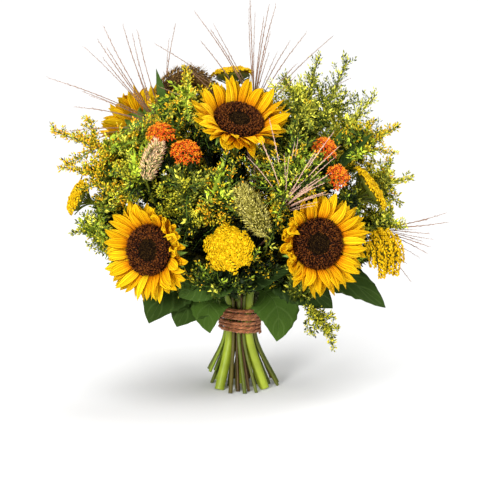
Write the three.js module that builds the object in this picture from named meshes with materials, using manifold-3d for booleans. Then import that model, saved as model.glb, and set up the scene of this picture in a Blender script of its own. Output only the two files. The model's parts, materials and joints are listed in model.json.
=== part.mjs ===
// A hand-tied bunch of sunflowers that stands unheld on its spread, cut stems. Four sunflowers are
// bound with flat yarrow heads, orange milkweed, goldenrod, foxtail and plume grasses and leaves.
// Millimetres, +Z up, +X to the right of the fullest side, which faces -Y. Every stem runs from the
// floor through the tie to its own head, and what grows on a stem is fused to it.
import * as THREE from "three";
import { mergeVertices } from "three/addons/utils/BufferGeometryUtils.js";
import Module from "manifold-3d";

const wasm = await Module();
wasm.setup();

// Driving dimensions of the tie and of the way the stems spread from it
const TIE_HEIGHT = 82;
const TIE_WIDTH = 36;
const TIE_RADIUS = 21.4;
const TIE_TILT = 0.12;
const TWINE_TURNS = 6;
const TWINE_THICKNESS = 4.3;
const TWINE_SEGMENTS = 14;
const FOOT_RADIUS = 52;
const FOOT_TWIST = 0.26;
const CROWN_SPREAD = 0.014;
const WAIST_LENGTH = 22;
const BUNDLE_TOP = TIE_HEIGHT + 36;
const STEM_GAP = 0.3;
const CLEARANCE = 0.45;

// Driving dimensions of the flowers
const DISC_RADIUS = 29;
const DISC_DEPTH = 9;
const DISC_BACK = -4;
const DISC_RELIEF = 1.6;
const RAY_COUNT = 13;
const RAY_LENGTH = 29;
const RAY_WIDTH = 14;
const RAY_THICKNESS = 0.9;
const RAY_CUP = 1.4;
const COLLAR_RADIUS = DISC_RADIUS + 3;
const COLLAR_BACK = -3;
const COLLAR_FRONT = 2;
const BRACT_COUNT = 10;
const BRACT_REACH = 1.62;
const BRACT_DROP = 4;
const CALYX_DEPTH = 14;
const LEAF_THICKNESS = 0.9;
const BROAD_LEAF_WIDTH = 25;
const UMBEL_DEPTH = 11;
const UMBEL_BACK = -3;
const UMBEL_RELIEF = 1.9;
const MILKWEED_FLATNESS = 0.72;
const MILKWEED_RELIEF = 0.76;
const PLUME_RADIUS = 6.5;
const BUD_PLUME_RADIUS = 5;
const WHIP_RADIUS = 0.75;

// Driving radii of the stems: in the tie, and where the head begins
const SUNFLOWER_STEM = [6.2, 4.96];
const YARROW_STEM = [2.5, 1.8];
const MILKWEED_STEM = [2.4, 1.6];
const SPRAY_STEM = [2.2, 0.8];
const GRASS_STEM = [1.9, 1.3];
const LEAFY_STEM = [2.5, 1.2];
const SIDE_STEM_RADIUS = 1.5;
const WHORL_RADII = [1.7, 1.6];

// Sunflowers: where the disc's centre is, which way it looks, and the leaves on each stem. A leaf
// leaves its stem at the height "on" and ends at its tip, and its upper side looks along "face".
const SUNFLOWERS = [
  {
    name: "sunflower_left", at: [-102, -88, 182], aim: [-0.46, -0.88, 0.13],
    leaves: [
      { on: 142, tip: [-106, -72, 92], width: 46, arch: 12, face: [-0.3, -0.9, 0.3] },
      { on: 126, tip: [-74, -64, 86], width: 48, arch: 12, face: [-0.1, -0.95, 0.3] },
    ],
  },
  {
    name: "sunflower_top", at: [-2, -40, 323], aim: [0.2, -0.55, 0.81],
    leaves: [
      { on: 236, tip: [34, -92, 250], width: 22, arch: 8, face: [0.1, -0.6, 0.8] },
      { on: 262, tip: [-44, -66, 262], width: 20, arch: 6, face: [-0.2, -0.6, 0.8] },
    ],
  },
  {
    name: "sunflower_right", at: [88, -92, 190], aim: [0.22, -0.96, 0.15],
    leaves: [
      { on: 120, tip: [50, -62, 72], width: 58, arch: 14, face: [0.1, -0.95, 0.3] },
      { on: 146, tip: [106, -66, 108], width: 38, arch: 10, face: [0.2, -0.9, 0.3] },
      { on: 160, tip: [172, -42, 104], width: 42, arch: 22, face: [0.5, -0.7, 0.5] },
    ],
  },
  {
    name: "sunflower_back", at: [-112, 52, 304], aim: [-0.35, 0.85, 0.35],
    leaves: [
      { on: 118, tip: [-38, 66, 84], width: 54, arch: 14, face: [-0.1, 0.95, 0.3] },
      { on: 140, tip: [-112, 50, 112], width: 46, arch: 16, face: [-0.5, 0.8, 0.3] },
    ],
  },
];

// Yarrow: flat domed umbels on slim stems
const YARROWS = [
  { name: "yarrow_front", at: [-12, -98, 186], aim: [-0.12, -0.97, 0.1], radius: 30 },
  { name: "yarrow_top", at: [-9, 46, 370], aim: [-0.05, 0.2, 0.98], radius: 27 },
  { name: "yarrow_left", at: [-188, -25, 233], aim: [-0.88, -0.15, 0.42], radius: 25 },
  { name: "yarrow_right_high", at: [150, -32, 243], aim: [0.82, 0.02, 0.56], radius: 31 },
  { name: "yarrow_right_low", at: [168, -44, 172], aim: [0.55, -0.72, 0.35], radius: 28 },
];

// Milkweed: orange umbels, one or two to a stem, over narrow leaves
const MILKWEEDS = [
  {
    name: "milkweed_left", at: [-92, -48, 311], aim: [-0.3, -0.5, 0.8], radius: 19, second: null,
    leaves: [
      { on: 272, tip: [-98, -14, 384], width: 15, arch: 8, face: [-0.2, -0.9, 0.2] },
      { on: 250, tip: [-128, -58, 292], width: 11, arch: 5, face: [-0.2, -0.6, 0.7] },
    ],
  },
  {
    name: "milkweed_centre", at: [-61, -74, 293], aim: [0.1, -0.65, 0.75], radius: 19, second: null,
    leaves: [
      { on: 246, tip: [-92, -98, 258], width: 10, arch: 5, face: [-0.2, -0.6, 0.7] },
      { on: 232, tip: [-38, -96, 262], width: 10, arch: 5, face: [0.2, -0.6, 0.7] },
    ],
  },
  {
    name: "milkweed_right", at: [98, -52, 296], aim: [0.2, -0.6, 0.75], radius: 15,
    second: { on: 240, at: [112, -76, 266], aim: [0.3, -0.8, 0.5], radius: 14 },
    leaves: [
      { on: 244, tip: [72, -86, 282], width: 9, arch: 4, face: [0, -0.7, 0.7] },
    ],
  },
];

// Goldenrod and its unopened, greener shoots: where the tip is, the way it grows there, the length
// that flowers and how far the side branches reach
const GOLDENRODS = [
  { name: "goldenrod_far_left", tip: [-220, -20, 312], lean: [-0.94, 0, 0.3], length: 110, reach: 34 },
  { name: "goldenrod_left", tip: [-206, -44, 272], lean: [-0.95, -0.15, 0.2], length: 100, reach: 32 },
  { name: "goldenrod_left_low", tip: [-196, -30, 192], lean: [-0.9, -0.2, -0.2], length: 70, reach: 24 },
  { name: "goldenrod_mid_left", tip: [-136, -92, 274], lean: [-0.5, -0.65, 0.5], length: 90, reach: 34 },
  { name: "goldenrod_inner_left", tip: [-64, -104, 262], lean: [-0.2, -0.8, 0.5], length: 70, reach: 28 },
  { name: "goldenrod_centre", tip: [-27, -112, 244], lean: [0, -0.85, 0.5], length: 60, reach: 26 },
  { name: "goldenrod_top_left", tip: [-64, -14, 384], lean: [-0.2, -0.1, 0.97], length: 84, reach: 26 },
  { name: "goldenrod_centre_right", tip: [60, -96, 264], lean: [0.2, -0.75, 0.6], length: 70, reach: 28 },
  { name: "goldenrod_right_high", tip: [186, -10, 316], lean: [0.85, 0, 0.5], length: 84, reach: 28 },
  { name: "goldenrod_right", tip: [206, 4, 252], lean: [0.97, 0, 0.1], length: 84, reach: 32 },
  { name: "goldenrod_right_low", tip: [196, -12, 196], lean: [0.95, 0, -0.15], length: 66, reach: 24 },
  { name: "goldenrod_hanging", tip: [108, -100, 70], lean: [0.25, -0.2, -0.95], length: 56, reach: 16 },
  { name: "goldenrod_back_left", tip: [-70, 112, 322], lean: [-0.3, 0.6, 0.7], length: 92, reach: 34 },
  { name: "goldenrod_back", tip: [34, 124, 300], lean: [0.1, 0.75, 0.6], length: 92, reach: 34 },
  { name: "goldenrod_back_right", tip: [128, 100, 272], lean: [0.5, 0.65, 0.5], length: 92, reach: 34 },
  { name: "bud_shoot_top", tip: [92, -4, 396], lean: [0.2, 0, 0.97], length: 120, reach: 38, bud: true },
  {
    name: "bud_shoot_top_right", tip: [128, 22, 392], lean: [0.3, 0.1, 0.95], length: 120, reach: 38,
    bud: true,
  },
  { name: "bud_shoot_right", tip: [160, 8, 350], lean: [0.6, 0, 0.8], length: 110, reach: 38, bud: true },
];

// Seed heads: a spike that follows its own bent axis from its foot to its tip
const SPIKES = [
  {
    name: "foxtail_green", axis: [[30, -88, 200], [17, -98, 224], [-2, -106, 256]], radius: 14,
    stem: 2.4, rings: 11, sides: 7, enter: [-0.3, -0.5, 0.8],
  },
  {
    name: "foxtail_brown",
    axis: [[-92, 8, 334], [-86, 8, 360], [-61, 10, 372], [-38, 16, 358], [-32, 20, 336]],
    radius: 15, stem: 2.4, rings: 13, sides: 7, enter: [0, 0, 1],
  },
  {
    name: "bud_spike_pink", axis: [[-108, -80, 262], [-102, -84, 280], [-92, -84, 304]], radius: 9,
    stem: 2.2, rings: 9, sides: 6, enter: [0.1, -0.5, 0.8],
  },
];

// Plume grasses: long bare whips that fan out of the top of a culm
const GRASSES = [
  {
    name: "plume_grass_left", at: [-106, 12, 326], aim: [-0.72, -0.05, 0.69],
    length: 124, fan: 0.9, whips: 13,
  },
  { name: "plume_grass_top", at: [17, 14, 352], aim: [-0.04, 0.02, 1], length: 128, fan: 1.1, whips: 19 },
  {
    name: "plume_grass_right", at: [172, 4, 190], aim: [0.97, -0.05, -0.12],
    length: 76, fan: 0.85, whips: 11,
  },
  {
    name: "plume_grass_centre", at: [54, -84, 238], aim: [0.2, -0.35, 0.9],
    length: 112, fan: 1.15, whips: 14,
  },
];

// Leafy stems that fill the front below the flowers, the sides and the back
const LEAFY_STEMS = [
  {
    name: "leafy_stem_front", at: [-24, -84, 140], aim: [-0.1, -0.8, 0.5],
    leaves: [
      { on: 119, tip: [-35, -70, 80], width: 50, arch: 14, face: [-0.1, -0.95, 0.3] },
      { on: 136, tip: [-24, -96, 128], width: 30, arch: 5, face: [0, -0.9, 0.4] },
      { on: 124, tip: [58, -90, 160], width: 34, arch: 6, face: [0.2, -0.8, 0.6] },
      { on: 138, tip: [-70, -92, 128], width: 34, arch: 8, face: [-0.2, -0.9, 0.4] },
    ],
  },
  {
    name: "leafy_stem_right", at: [112, -30, 262], aim: [0.5, -0.3, 0.8],
    leaves: [
      { on: 222, tip: [120, -46, 318], width: 15, arch: 5, face: [-0.3, -0.9, 0.1] },
      { on: 246, tip: [156, -26, 310], width: 15, arch: 6, face: [0.1, -0.5, 0.8] },
      { on: 200, tip: [134, -76, 226], width: 16, arch: 6, face: [0.2, -0.6, 0.7] },
    ],
  },
  {
    name: "leafy_stem_back", at: [62, 92, 236], aim: [0.35, 0.7, 0.6],
    leaves: [
      { on: 122, tip: [44, 72, 82], width: 54, arch: 14, face: [0.2, 0.95, 0.3] },
      { on: 150, tip: [122, 62, 116], width: 46, arch: 16, face: [0.5, 0.8, 0.4] },
      { on: 190, tip: [104, 108, 196], width: 34, arch: 10, face: [0.3, 0.6, 0.7] },
      { on: 215, tip: [18, 124, 232], width: 30, arch: 10, face: [-0.1, 0.7, 0.7] },
    ],
  },
];

// Vectors, a seeded random number and solids
const vector = (a) => new THREE.Vector3(a[0], a[1], a[2]);
const direction = ({ aim }) => vector(aim).normalize();
const UP = new THREE.Vector3(0, 0, 1);

function seededRandom(seed) {
  let state = seed;
  return () => {
    state = (state + 0x6d2b79f5) | 0;
    let t = Math.imul(state ^ (state >>> 15), 1 | state);
    t = (t + Math.imul(t ^ (t >>> 7), 61 | t)) ^ t;
    return ((t ^ (t >>> 14)) >>> 0) / 4294967296;
  };
}

// A closed geometry as a solid, with doubled corners merged and collapsed triangles dropped.
function solidOf(geometry) {
  geometry.deleteAttribute("normal");
  geometry.deleteAttribute("uv");
  const merged = mergeVertices(geometry, 1e-4);
  const index = merged.index.array;
  const kept = [];
  for (let i = 0; i < index.length; i += 3) {
    const [a, b, c] = [index[i], index[i + 1], index[i + 2]];
    if (a !== b && b !== c && a !== c) kept.push(a, b, c);
  }
  return new wasm.Manifold(new wasm.Mesh({
    numProp: 3,
    vertProperties: merged.attributes.position.array,
    triVerts: new Uint32Array(kept),
  }));
}

function geometryOf(points, faces) {
  const geometry = new THREE.BufferGeometry().setFromPoints(points);
  geometry.setIndex(faces);
  return geometry;
}

function largestBody(solid) {
  const bodies = solid.decompose();
  return bodies.reduce((best, body) => (body.volume() > best.volume() ? body : best));
}

// A closed skin of flat faces, each a list of corners that turns left seen from outside. A branch
// takes the place of a face: rings with as many corners as the face has, then a tip.
class Skin {
  constructor(points, faces) {
    this.points = points;
    this.faces = faces;
  }

  addBranch(face, rings, tip) {
    let foot = this.faces[face];
    this.faces[face] = [];
    for (const ring of rings) {
      const first = this.points.length;
      this.points.push(...ring);
      const next = foot.map((_, k) => first + k);
      foot.forEach((corner, k) => {
        const beside = (k + 1) % foot.length;
        this.faces.push([corner, foot[beside], next[beside], next[k]]);
      });
      foot = next;
    }
    const end = this.points.push(tip) - 1;
    foot.forEach((corner, k) => this.faces.push([corner, foot[(k + 1) % foot.length], end]));
  }

  corners(face) {
    return this.faces[face].map((corner) => this.points[corner]);
  }

  solid() {
    const triangles = [];
    for (const face of this.faces) {
      for (let k = 1; k < face.length - 1; k++) triangles.push(face[0], face[k], face[k + 1]);
    }
    return solidOf(geometryOf(this.points, triangles));
  }
}

// A tube through given ring centres. radiusAt(ring, side) is its radius. From the ring splitFrom on,
// its side faces are triangles. Face number sides * ring + side starts at that ring and side.
function tubeSkin(centres, radiusAt, sides, splitFrom = centres.length) {
  const points = [];
  const faces = [];
  const side = new THREE.Vector3(1, 0, 0);
  centres.forEach((centre, i) => {
    const ahead = centres[Math.min(i + 1, centres.length - 1)].clone();
    const tangent = ahead.sub(centres[Math.max(i - 1, 0)]).normalize();
    side.addScaledVector(tangent, -side.dot(tangent)).normalize();
    const other = tangent.clone().cross(side);
    for (let j = 0; j < sides; j++) {
      const angle = (2 * Math.PI * (j + 0.5)) / sides;
      const out = side.clone().multiplyScalar(Math.cos(angle)).addScaledVector(other, Math.sin(angle));
      points.push(centre.clone().addScaledVector(out, radiusAt(i, j)));
    }
  });
  for (let i = 0; i < centres.length - 1; i++) {
    for (let j = 0; j < sides; j++) {
      const a = i * sides + j;
      const b = i * sides + ((j + 1) % sides);
      if (i < splitFrom) faces.push([a, b, b + sides, a + sides]);
      else faces.push([a, b, b + sides], [a, b + sides, a + sides]);
    }
  }
  const last = (centres.length - 1) * sides;
  const around = [...Array(sides).keys()];
  faces.push(around.map((j) => sides - 1 - j), around.map((j) => last + j));
  return new Skin(points, faces);
}

// Rings for a branch that leaves a face along a curve, turned so that their corners match the face's.
function branchRings(corners, curve, radii) {
  const centre = corners.reduce((sum, p) => sum.add(p), new THREE.Vector3()).divideScalar(corners.length);
  const first = corners[0].clone().sub(centre);
  return radii.map((radius, i) => {
    const t = (i + 1) / (radii.length + 1);
    const middle = curve.getPoint(t);
    const tangent = curve.getTangent(t);
    const side = first.clone().addScaledVector(tangent, -first.dot(tangent)).normalize();
    const other = tangent.clone().cross(side);
    return corners.map((_, k) => {
      const angle = (2 * Math.PI * k) / corners.length;
      const out = side.clone().multiplyScalar(Math.cos(angle)).addScaledVector(other, Math.sin(angle));
      return middle.clone().addScaledVector(out, radius);
    });
  });
}

// Adds a branch to a skin in the first attitude in which it is clear of every other node.
// A branch as a solid of its own, from the corners of its face to its tip.
function branchSolid(corners, curve, radii, grow) {
  const around = corners.map((_, k) => k);
  const branch = new Skin([...corners], [[...around].reverse(), around]);
  const tip = curve.getPoint(1).addScaledVector(curve.getTangent(1), grow);
  branch.addBranch(1, branchRings(corners, curve, radii.map((radius) => radius + grow)), tip);
  return branch.solid();
}

// Adds a branch to a skin in the first attitude in which it is clear of every other node, and of the
// stem and the branches of its own, which are kept in the list of own solids.
const OWN_OVERLAP = 0.05; // mm3, the most by which branches of one node touch at their feet
function branchFirstFree(name, skin, face, attitudes, curveOf, radii, own) {
  const corners = skin.corners(face);
  for (const attitude of attitudes) {
    const curve = curveOf(attitude, corners);
    const branch = branchSolid(corners, curve, radii, 0);
    if (own.some((other) => other.intersect(branch).volume() > OWN_OVERLAP)) continue;
    if (!isFree(branchSolid(corners, curve, radii, CLEARANCE), name)) continue;
    skin.addBranch(face, branchRings(corners, curve, radii), curve.getPoint(1));
    own.push(branch);
    return;
  }
}

// A thin blade with a rib: rows of left edge, rib and right edge, then one tip. Both faces are split alike.
function blade(rows, tip, normals, thickness) {
  const points = [];
  const layer = rows.length * 3 + 1;
  for (const side of [0.5, -0.5]) {
    rows.forEach((row, i) => {
      for (const p of row) points.push(p.clone().addScaledVector(normals[i], side * thickness));
    });
    points.push(tip.clone().addScaledVector(normals[rows.length], side * thickness));
  }
  const faces = [];
  const both = (a, b, c) => faces.push(a, b, c, layer + a, layer + c, layer + b);
  const wall = (a, b) => faces.push(a, layer + a, layer + b, a, layer + b, b);
  const end = rows.length - 1;
  for (let i = 0; i < end; i++) {
    const a = i * 3;
    both(a, a + 1, a + 4);
    both(a, a + 4, a + 3);
    both(a + 1, a + 2, a + 5);
    both(a + 1, a + 5, a + 4);
    wall(a + 3, a);
    wall(a + 2, a + 5);
  }
  const a = end * 3;
  both(a, a + 1, layer - 1);
  both(a + 1, a + 2, layer - 1);
  wall(0, 1);
  wall(1, 2);
  wall(a + 2, layer - 1);
  wall(layer - 1, a);
  return solidOf(geometryOf(points, faces));
}

// A blade along a curve: widths are half widths at even steps from its foot, and cup lifts the edges.
function curvedBlade(curve, face, widths, cup, thickness) {
  const rows = [];
  const normals = [];
  const count = widths.length;
  for (let i = 0; i <= count; i++) {
    const t = i / count;
    const centre = curve.getPoint(t);
    const tangent = curve.getTangent(Math.min(t, 0.999));
    const across = face.clone().cross(tangent).normalize();
    const normal = tangent.clone().cross(across).normalize();
    normals.push(normal);
    if (i === count) return blade(rows, centre, normals, thickness);
    const lift = normal.clone().multiplyScalar(cup * widths[i]);
    rows.push([
      centre.clone().addScaledVector(across, widths[i]).add(lift),
      centre,
      centre.clone().addScaledVector(across, -widths[i]).add(lift),
    ]);
  }
  return null;
}

// A turned solid about the aim direction, with its profile as radius and height, and a relief.
function turned(profile, segments, at, aim, relief = null) {
  const outline = profile.map(([radius, height]) => new THREE.Vector2(radius, height));
  const geometry = new THREE.LatheGeometry(outline, segments);
  const position = geometry.attributes.position;
  const spot = new THREE.Vector3();
  for (let k = 0; relief && k < position.count; k++) {
    const column = Math.floor(k / profile.length) % segments;
    const row = k % profile.length;
    spot.fromBufferAttribute(position, k);
    relief(spot, column, row);
    position.setXYZ(k, spot.x, spot.y, spot.z);
  }
  const turn = new THREE.Quaternion().setFromUnitVectors(new THREE.Vector3(0, 1, 0), aim);
  geometry.applyQuaternion(turn).translate(at.x, at.y, at.z);
  return solidOf(geometry);
}

// The bundle: stems side by side in the tie, and how they spread below and above it
function bundleScale(height) {
  const away = height - TIE_HEIGHT;
  if (away > 0) return 1 + CROWN_SPREAD * Math.max(0, away - WAIST_LENGTH);
  const splay = FOOT_RADIUS / TIE_RADIUS - 1;
  return 1 + (splay * Math.max(0, -away - WAIST_LENGTH)) / (TIE_HEIGHT - WAIST_LENGTH);
}

function bundlePoint(slot, height) {
  const below = Math.max(0, TIE_HEIGHT - WAIST_LENGTH - height);
  const turn = (FOOT_TWIST * below) / TIE_HEIGHT;
  const scale = bundleScale(height);
  return new THREE.Vector3(
    scale * (slot.x * Math.cos(turn) - slot.y * Math.sin(turn)),
    scale * (slot.x * Math.sin(turn) + slot.y * Math.cos(turn)),
    height,
  );
}

// Settles the stems' circles in the tie: each is pushed off its neighbours and kept within the twine.
const SETTLE_STEPS = 2500;
function settleInTie(stems) {
  for (let step = 0; step < SETTLE_STEPS; step++) {
    for (let i = 0; i < stems.length; i++) {
      for (let j = i + 1; j < stems.length; j++) {
        const apart = stems[j].slot.clone().sub(stems[i].slot);
        const lack = stems[i].radius + stems[j].radius + STEM_GAP - apart.length();
        if (lack <= 0) continue;
        apart.normalize();
        const share = stems[j].radius ** 2 / (stems[i].radius ** 2 + stems[j].radius ** 2);
        stems[i].slot.addScaledVector(apart, -lack * share);
        stems[j].slot.addScaledVector(apart, lack * (1 - share));
      }
    }
    for (const { slot, radius } of stems) slot.clampLength(0, TIE_RADIUS - radius);
  }
}

// The line of a stem above the bundle, as corners at its shares of the way to the foot of its head. It
// leaves the bundle the way it ran in it, and arrives the way its head points.
const LEAVE_HANDLE = 0.35;
const ARRIVE_HANDLE = 0.32;
function firstLine(stem) {
  const start = bundlePoint(stem.slot, BUNDLE_TOP);
  const before = bundlePoint(stem.slot, BUNDLE_TOP - 4);
  const leave = start.clone().sub(before).normalize();
  const reach = start.distanceTo(stem.foot);
  const curve = new THREE.CubicBezierCurve3(
    start,
    start.clone().addScaledVector(leave, reach * LEAVE_HANDLE),
    stem.foot.clone().addScaledVector(stem.enter, -reach * ARRIVE_HANDLE),
    stem.foot.clone(),
  );
  stem.length = curve.getLength();
  stem.shares = stem.sharesOf(stem.length);
  return stem.shares.map((share) => curve.getPointAt(share));
}

// Where two segments a-b and c-d come nearest, as shares of each.
function nearestShares(a, b, c, d) {
  const along = b.clone().sub(a);
  const across = d.clone().sub(c);
  const between = a.clone().sub(c);
  const [aa, cc, ac] = [along.lengthSq(), across.lengthSq(), along.dot(across)];
  const [ab, cb] = [along.dot(between), across.dot(between)];
  const divisor = aa * cc - ac * ac;
  const clamp = (x) => THREE.MathUtils.clamp(x, 0, 1);
  let s = divisor > 1e-9 ? clamp((ac * cb - ab * cc) / divisor) : 0.5;
  const t = clamp((ac * s + cb) / cc);
  s = clamp((ac * t - ab) / aa);
  return [s, t];
}

// Moves the two ends of a segment so that its point at a share moves by the push. The ends of the whole
// line stay.
function pushSegment(line, k, share, push) {
  if (k > 0) line[k].addScaledVector(push, 1 - share);
  if (k + 1 < line.length - 1) line[k + 1].addScaledVector(push, share);
}

// The radius of a stem at a share of its line.
const taper = (stem, share) => THREE.MathUtils.lerp(stem.radius, stem.endRadius, share);

// Pushes two stems apart where they come closer than a gap.
const BEND_GAP = 1.6;
const PART_SHARE = 0.6;
function partStems(a, b) {
  for (let k = 0; k < a.line.length - 1; k++) {
    for (let m = 0; m < b.line.length - 1; m++) {
      const [s, t] = nearestShares(a.line[k], a.line[k + 1], b.line[m], b.line[m + 1]);
      const push = a.line[k].clone().lerp(a.line[k + 1], s).sub(b.line[m].clone().lerp(b.line[m + 1], t));
      const distance = push.length();
      const lack = taper(a, a.shares[k]) + taper(b, b.shares[m]) + BEND_GAP - distance;
      if (lack <= 0 || distance < 1e-6) continue;
      push.multiplyScalar((PART_SHARE * lack) / distance);
      pushSegment(a.line, k, s, push);
      pushSegment(b.line, m, t, push.negate());
    }
  }
}

// Pushes a stem behind a bloom that it would pass through.
const PASS_SHARE = 0.3;
function passBehind(stem, bloom) {
  for (let k = 0; k < stem.line.length - 1; k++) {
    for (const share of [0, 0.25, 0.5, 0.75, 1]) {
      const from = stem.line[k].clone().lerp(stem.line[k + 1], share).sub(bloom.centre);
      const depth = from.dot(bloom.aim);
      const out = from.addScaledVector(bloom.aim, -depth).length();
      if (out > bloom.radius || Math.abs(depth) > bloom.depth) continue;
      const push = bloom.aim.clone().multiplyScalar(-PASS_SHARE * (bloom.depth + depth));
      pushSegment(stem.line, k, share, push);
    }
  }
}

const BEND_ROUNDS = 160;
function bendClear(stems, blooms) {
  for (let round = 0; round < BEND_ROUNDS; round++) {
    stems.forEach((stem, i) => {
      for (const other of stems.slice(i + 1)) partStems(stem, other);
      for (const bloom of blooms) if (bloom.name !== stem.name) passBehind(stem, bloom);
    });
  }
}

// The point at a share of a stem's bent line, and the way it runs there.
function alongLine(stem, share) {
  const last = stem.shares.length - 2;
  const k = Math.min(last, stem.shares.findLastIndex((at) => at <= share + 1e-9));
  const [from, to] = [stem.shares[k], stem.shares[k + 1]];
  return stem.line[k].clone().lerp(stem.line[k + 1], (share - from) / (to - from));
}

function wayAlong(stem, share) {
  const [before, after] = [Math.max(0, share - 0.04), Math.min(1, share + 0.04)];
  return alongLine(stem, after).sub(alongLine(stem, before)).normalize();
}

// A stem as a tube: straight through the bundle, then along its bent line at the given shares of it.
// The radii are given for the shares; through the bundle the stem has its full radius. Its foot is cut
// level.
const BUNDLE_LEVELS = [0, TIE_HEIGHT - WAIST_LENGTH, TIE_HEIGHT + WAIST_LENGTH, BUNDLE_TOP];
function stemSkin(stem, shares, radii, sides, splitFrom) {
  const levels = [stem.cut, ...BUNDLE_LEVELS.slice(1)];
  const centres = levels.map((height) => bundlePoint(stem.slot, height));
  for (const share of shares) centres.push(alongLine(stem, share));
  const thickness = [...levels.map(() => stem.radius), ...radii];
  const skin = tubeSkin(centres, (ring) => thickness[ring], sides, splitFrom);
  const along = centres[1].clone().sub(centres[0]);
  for (const corner of skin.points.slice(0, sides)) {
    corner.addScaledVector(along, (stem.cut - corner.z) / along.z);
  }
  return skin;
}

function plainStem(stem, sides) {
  const shares = stem.shares.slice(1);
  return stemSkin(stem, shares, shares.map((share) => taper(stem, share)), sides);
}

// A point on a stem at a given height.
function onStem(stem, height) {
  const rises = stem.line.findIndex((point, k) => k > 0 && point.z >= height);
  const k = rises < 0 ? stem.line.length - 1 : rises;
  const [a, b] = [stem.line[k - 1], stem.line[k]];
  return a.clone().lerp(b, THREE.MathUtils.clamp((height - a.z) / (b.z - a.z), 0, 1));
}

// What is placed so far: a new piece is taken only where it meets nothing but its own node.
const placed = new Map();

function boxesMeet(a, b) {
  return [0, 1, 2].every((i) => a.min[i] <= b.max[i] && b.min[i] <= a.max[i]);
}

function isFree(piece, own) {
  const box = piece.boundingBox();
  for (const [name, entry] of placed) {
    if (name === own || !boxesMeet(box, entry.box)) continue;
    if (!piece.intersect(entry.solid).isEmpty()) return false;
  }
  return true;
}

function place(name, solid) {
  placed.set(name, { solid, box: solid.boundingBox() });
}

function join(name, solid) {
  place(name, placed.get(name).solid.add(solid));
}

// Tries a piece in several attitudes and adds the first that is clear of every other node.
function growFirstFree(name, attitudes, make) {
  for (const attitude of attitudes) {
    if (isFree(make(attitude, CLEARANCE), name)) {
      join(name, make(attitude, 0));
      return true;
    }
  }
  return false;
}

// Sunflower pieces
function ringSpot(at, aim, angle, radius, height) {
  const turn = new THREE.Quaternion().setFromUnitVectors(UP, aim);
  const spot = new THREE.Vector3(radius * Math.cos(angle), radius * Math.sin(angle), height);
  return spot.applyQuaternion(turn).add(at);
}

// The disc: a low ring of open florets round a hollow with the unopened ones, raised in a chequer.
function sunflowerDisc(at, aim) {
  const rim = DISC_RADIUS - 0.5;
  const outline = [
    [rim - 5, DISC_BACK], [rim, 1], [rim * 0.93, DISC_DEPTH * 0.75], [rim * 0.78, DISC_DEPTH],
    [rim * 0.62, DISC_DEPTH * 0.95], [rim * 0.45, DISC_DEPTH * 0.7], [rim * 0.2, DISC_DEPTH * 0.78],
  ];
  const profile = [[0, DISC_BACK], ...outline, [0, DISC_DEPTH * 0.7]];
  return turned(profile, 16, at, aim, (spot, column, row) => {
    if (row > 2 && row < 7 && (column + row) % 2) spot.y += DISC_RELIEF;
  });
}

// One ray floret: its foot is a quad of the collar, then a row with a rib, then the tip. The corners
// of the foot are right and left below, then right and left above.
function petalPoints(at, aim, ray, lift, grow) {
  const half = RAY_WIDTH / 2 + grow;
  const thick = RAY_THICKNESS / 2 + grow;
  const [below, above] = ray.levels;
  const height = (below + above) / 2;
  const rise = ray.rise + lift;
  const spread = Math.PI / COLLAR_COLUMNS;
  const corner = (side, level) => ringSpot(at, aim, ray.angle + side * spread, COLLAR_RADIUS, level);
  const widest = COLLAR_RADIUS + ray.length / 2;
  const middle = (side, level) => {
    const around = Math.atan2(side * half, widest);
    const radius = Math.hypot(widest, side * half);
    return ringSpot(at, aim, ray.angle + around, radius, height + rise + Math.abs(side) * RAY_CUP + level);
  };
  const points = [corner(-1, below), corner(1, below), corner(-1, above), corner(1, above)];
  for (const level of [thick, -thick]) {
    for (const side of [1, 0, -1]) points.push(middle(side, level));
    const end = COLLAR_RADIUS + ray.length + grow;
    points.push(ringSpot(at, aim, ray.angle, end, height + rise * 0.6 + level));
  }
  return points;
}

// The skin of a ray floret over its twelve points, open at the foot.
const PETAL_SKIN = [
  [3, 2, 5], [3, 5, 4], [2, 6, 5], [4, 5, 7], [5, 6, 7],
  [1, 9, 0], [1, 8, 9], [0, 9, 10], [8, 11, 9], [9, 11, 10],
  [3, 4, 8], [3, 8, 1], [6, 2, 0], [6, 0, 10],
  [4, 7, 11], [4, 11, 8], [7, 6, 10], [7, 10, 11],
];
const PETAL_FOOT = [[2, 3, 1], [2, 1, 0]];

// The ray floret's points at the first rise at which it is clear of every other node, or undefined.
const RAY_LIFTS = [0, 5, -4, 10, -8, 16];
function freePetal(name, at, aim, ray) {
  const whole = [...PETAL_SKIN, ...PETAL_FOOT].flat();
  const lift = RAY_LIFTS.find((tried) => {
    const test = petalPoints(at, aim, ray, tried, CLEARANCE);
    return isFree(solidOf(geometryOf(test, whole)), name);
  });
  return lift === undefined ? undefined : petalPoints(at, aim, ray, lift, 0);
}

// The collar round the disc, as rings of radius and height. The whorls grow out of the faces that start
// at its second and third ring, the upper one on even columns and the lower one on odd columns.
const COLLAR_COLUMNS = 2 * RAY_COUNT;
const COLLAR_INNER = DISC_RADIUS + STEM_GAP;
const COLLAR_RINGS = [
  [COLLAR_INNER, COLLAR_BACK],
  [COLLAR_RADIUS, COLLAR_BACK],
  [COLLAR_RADIUS, (COLLAR_BACK + COLLAR_FRONT) / 2],
  [COLLAR_RADIUS, COLLAR_FRONT],
  [COLLAR_INNER, COLLAR_FRONT],
];
const LOWER_WHORL = { ring: 1, odd: 1, scale: 1, rise: -1 };
const UPPER_WHORL = { ring: 2, odd: 0, scale: 0.95, rise: 4.5 };
const RISE_SPREAD = 3;

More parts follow.
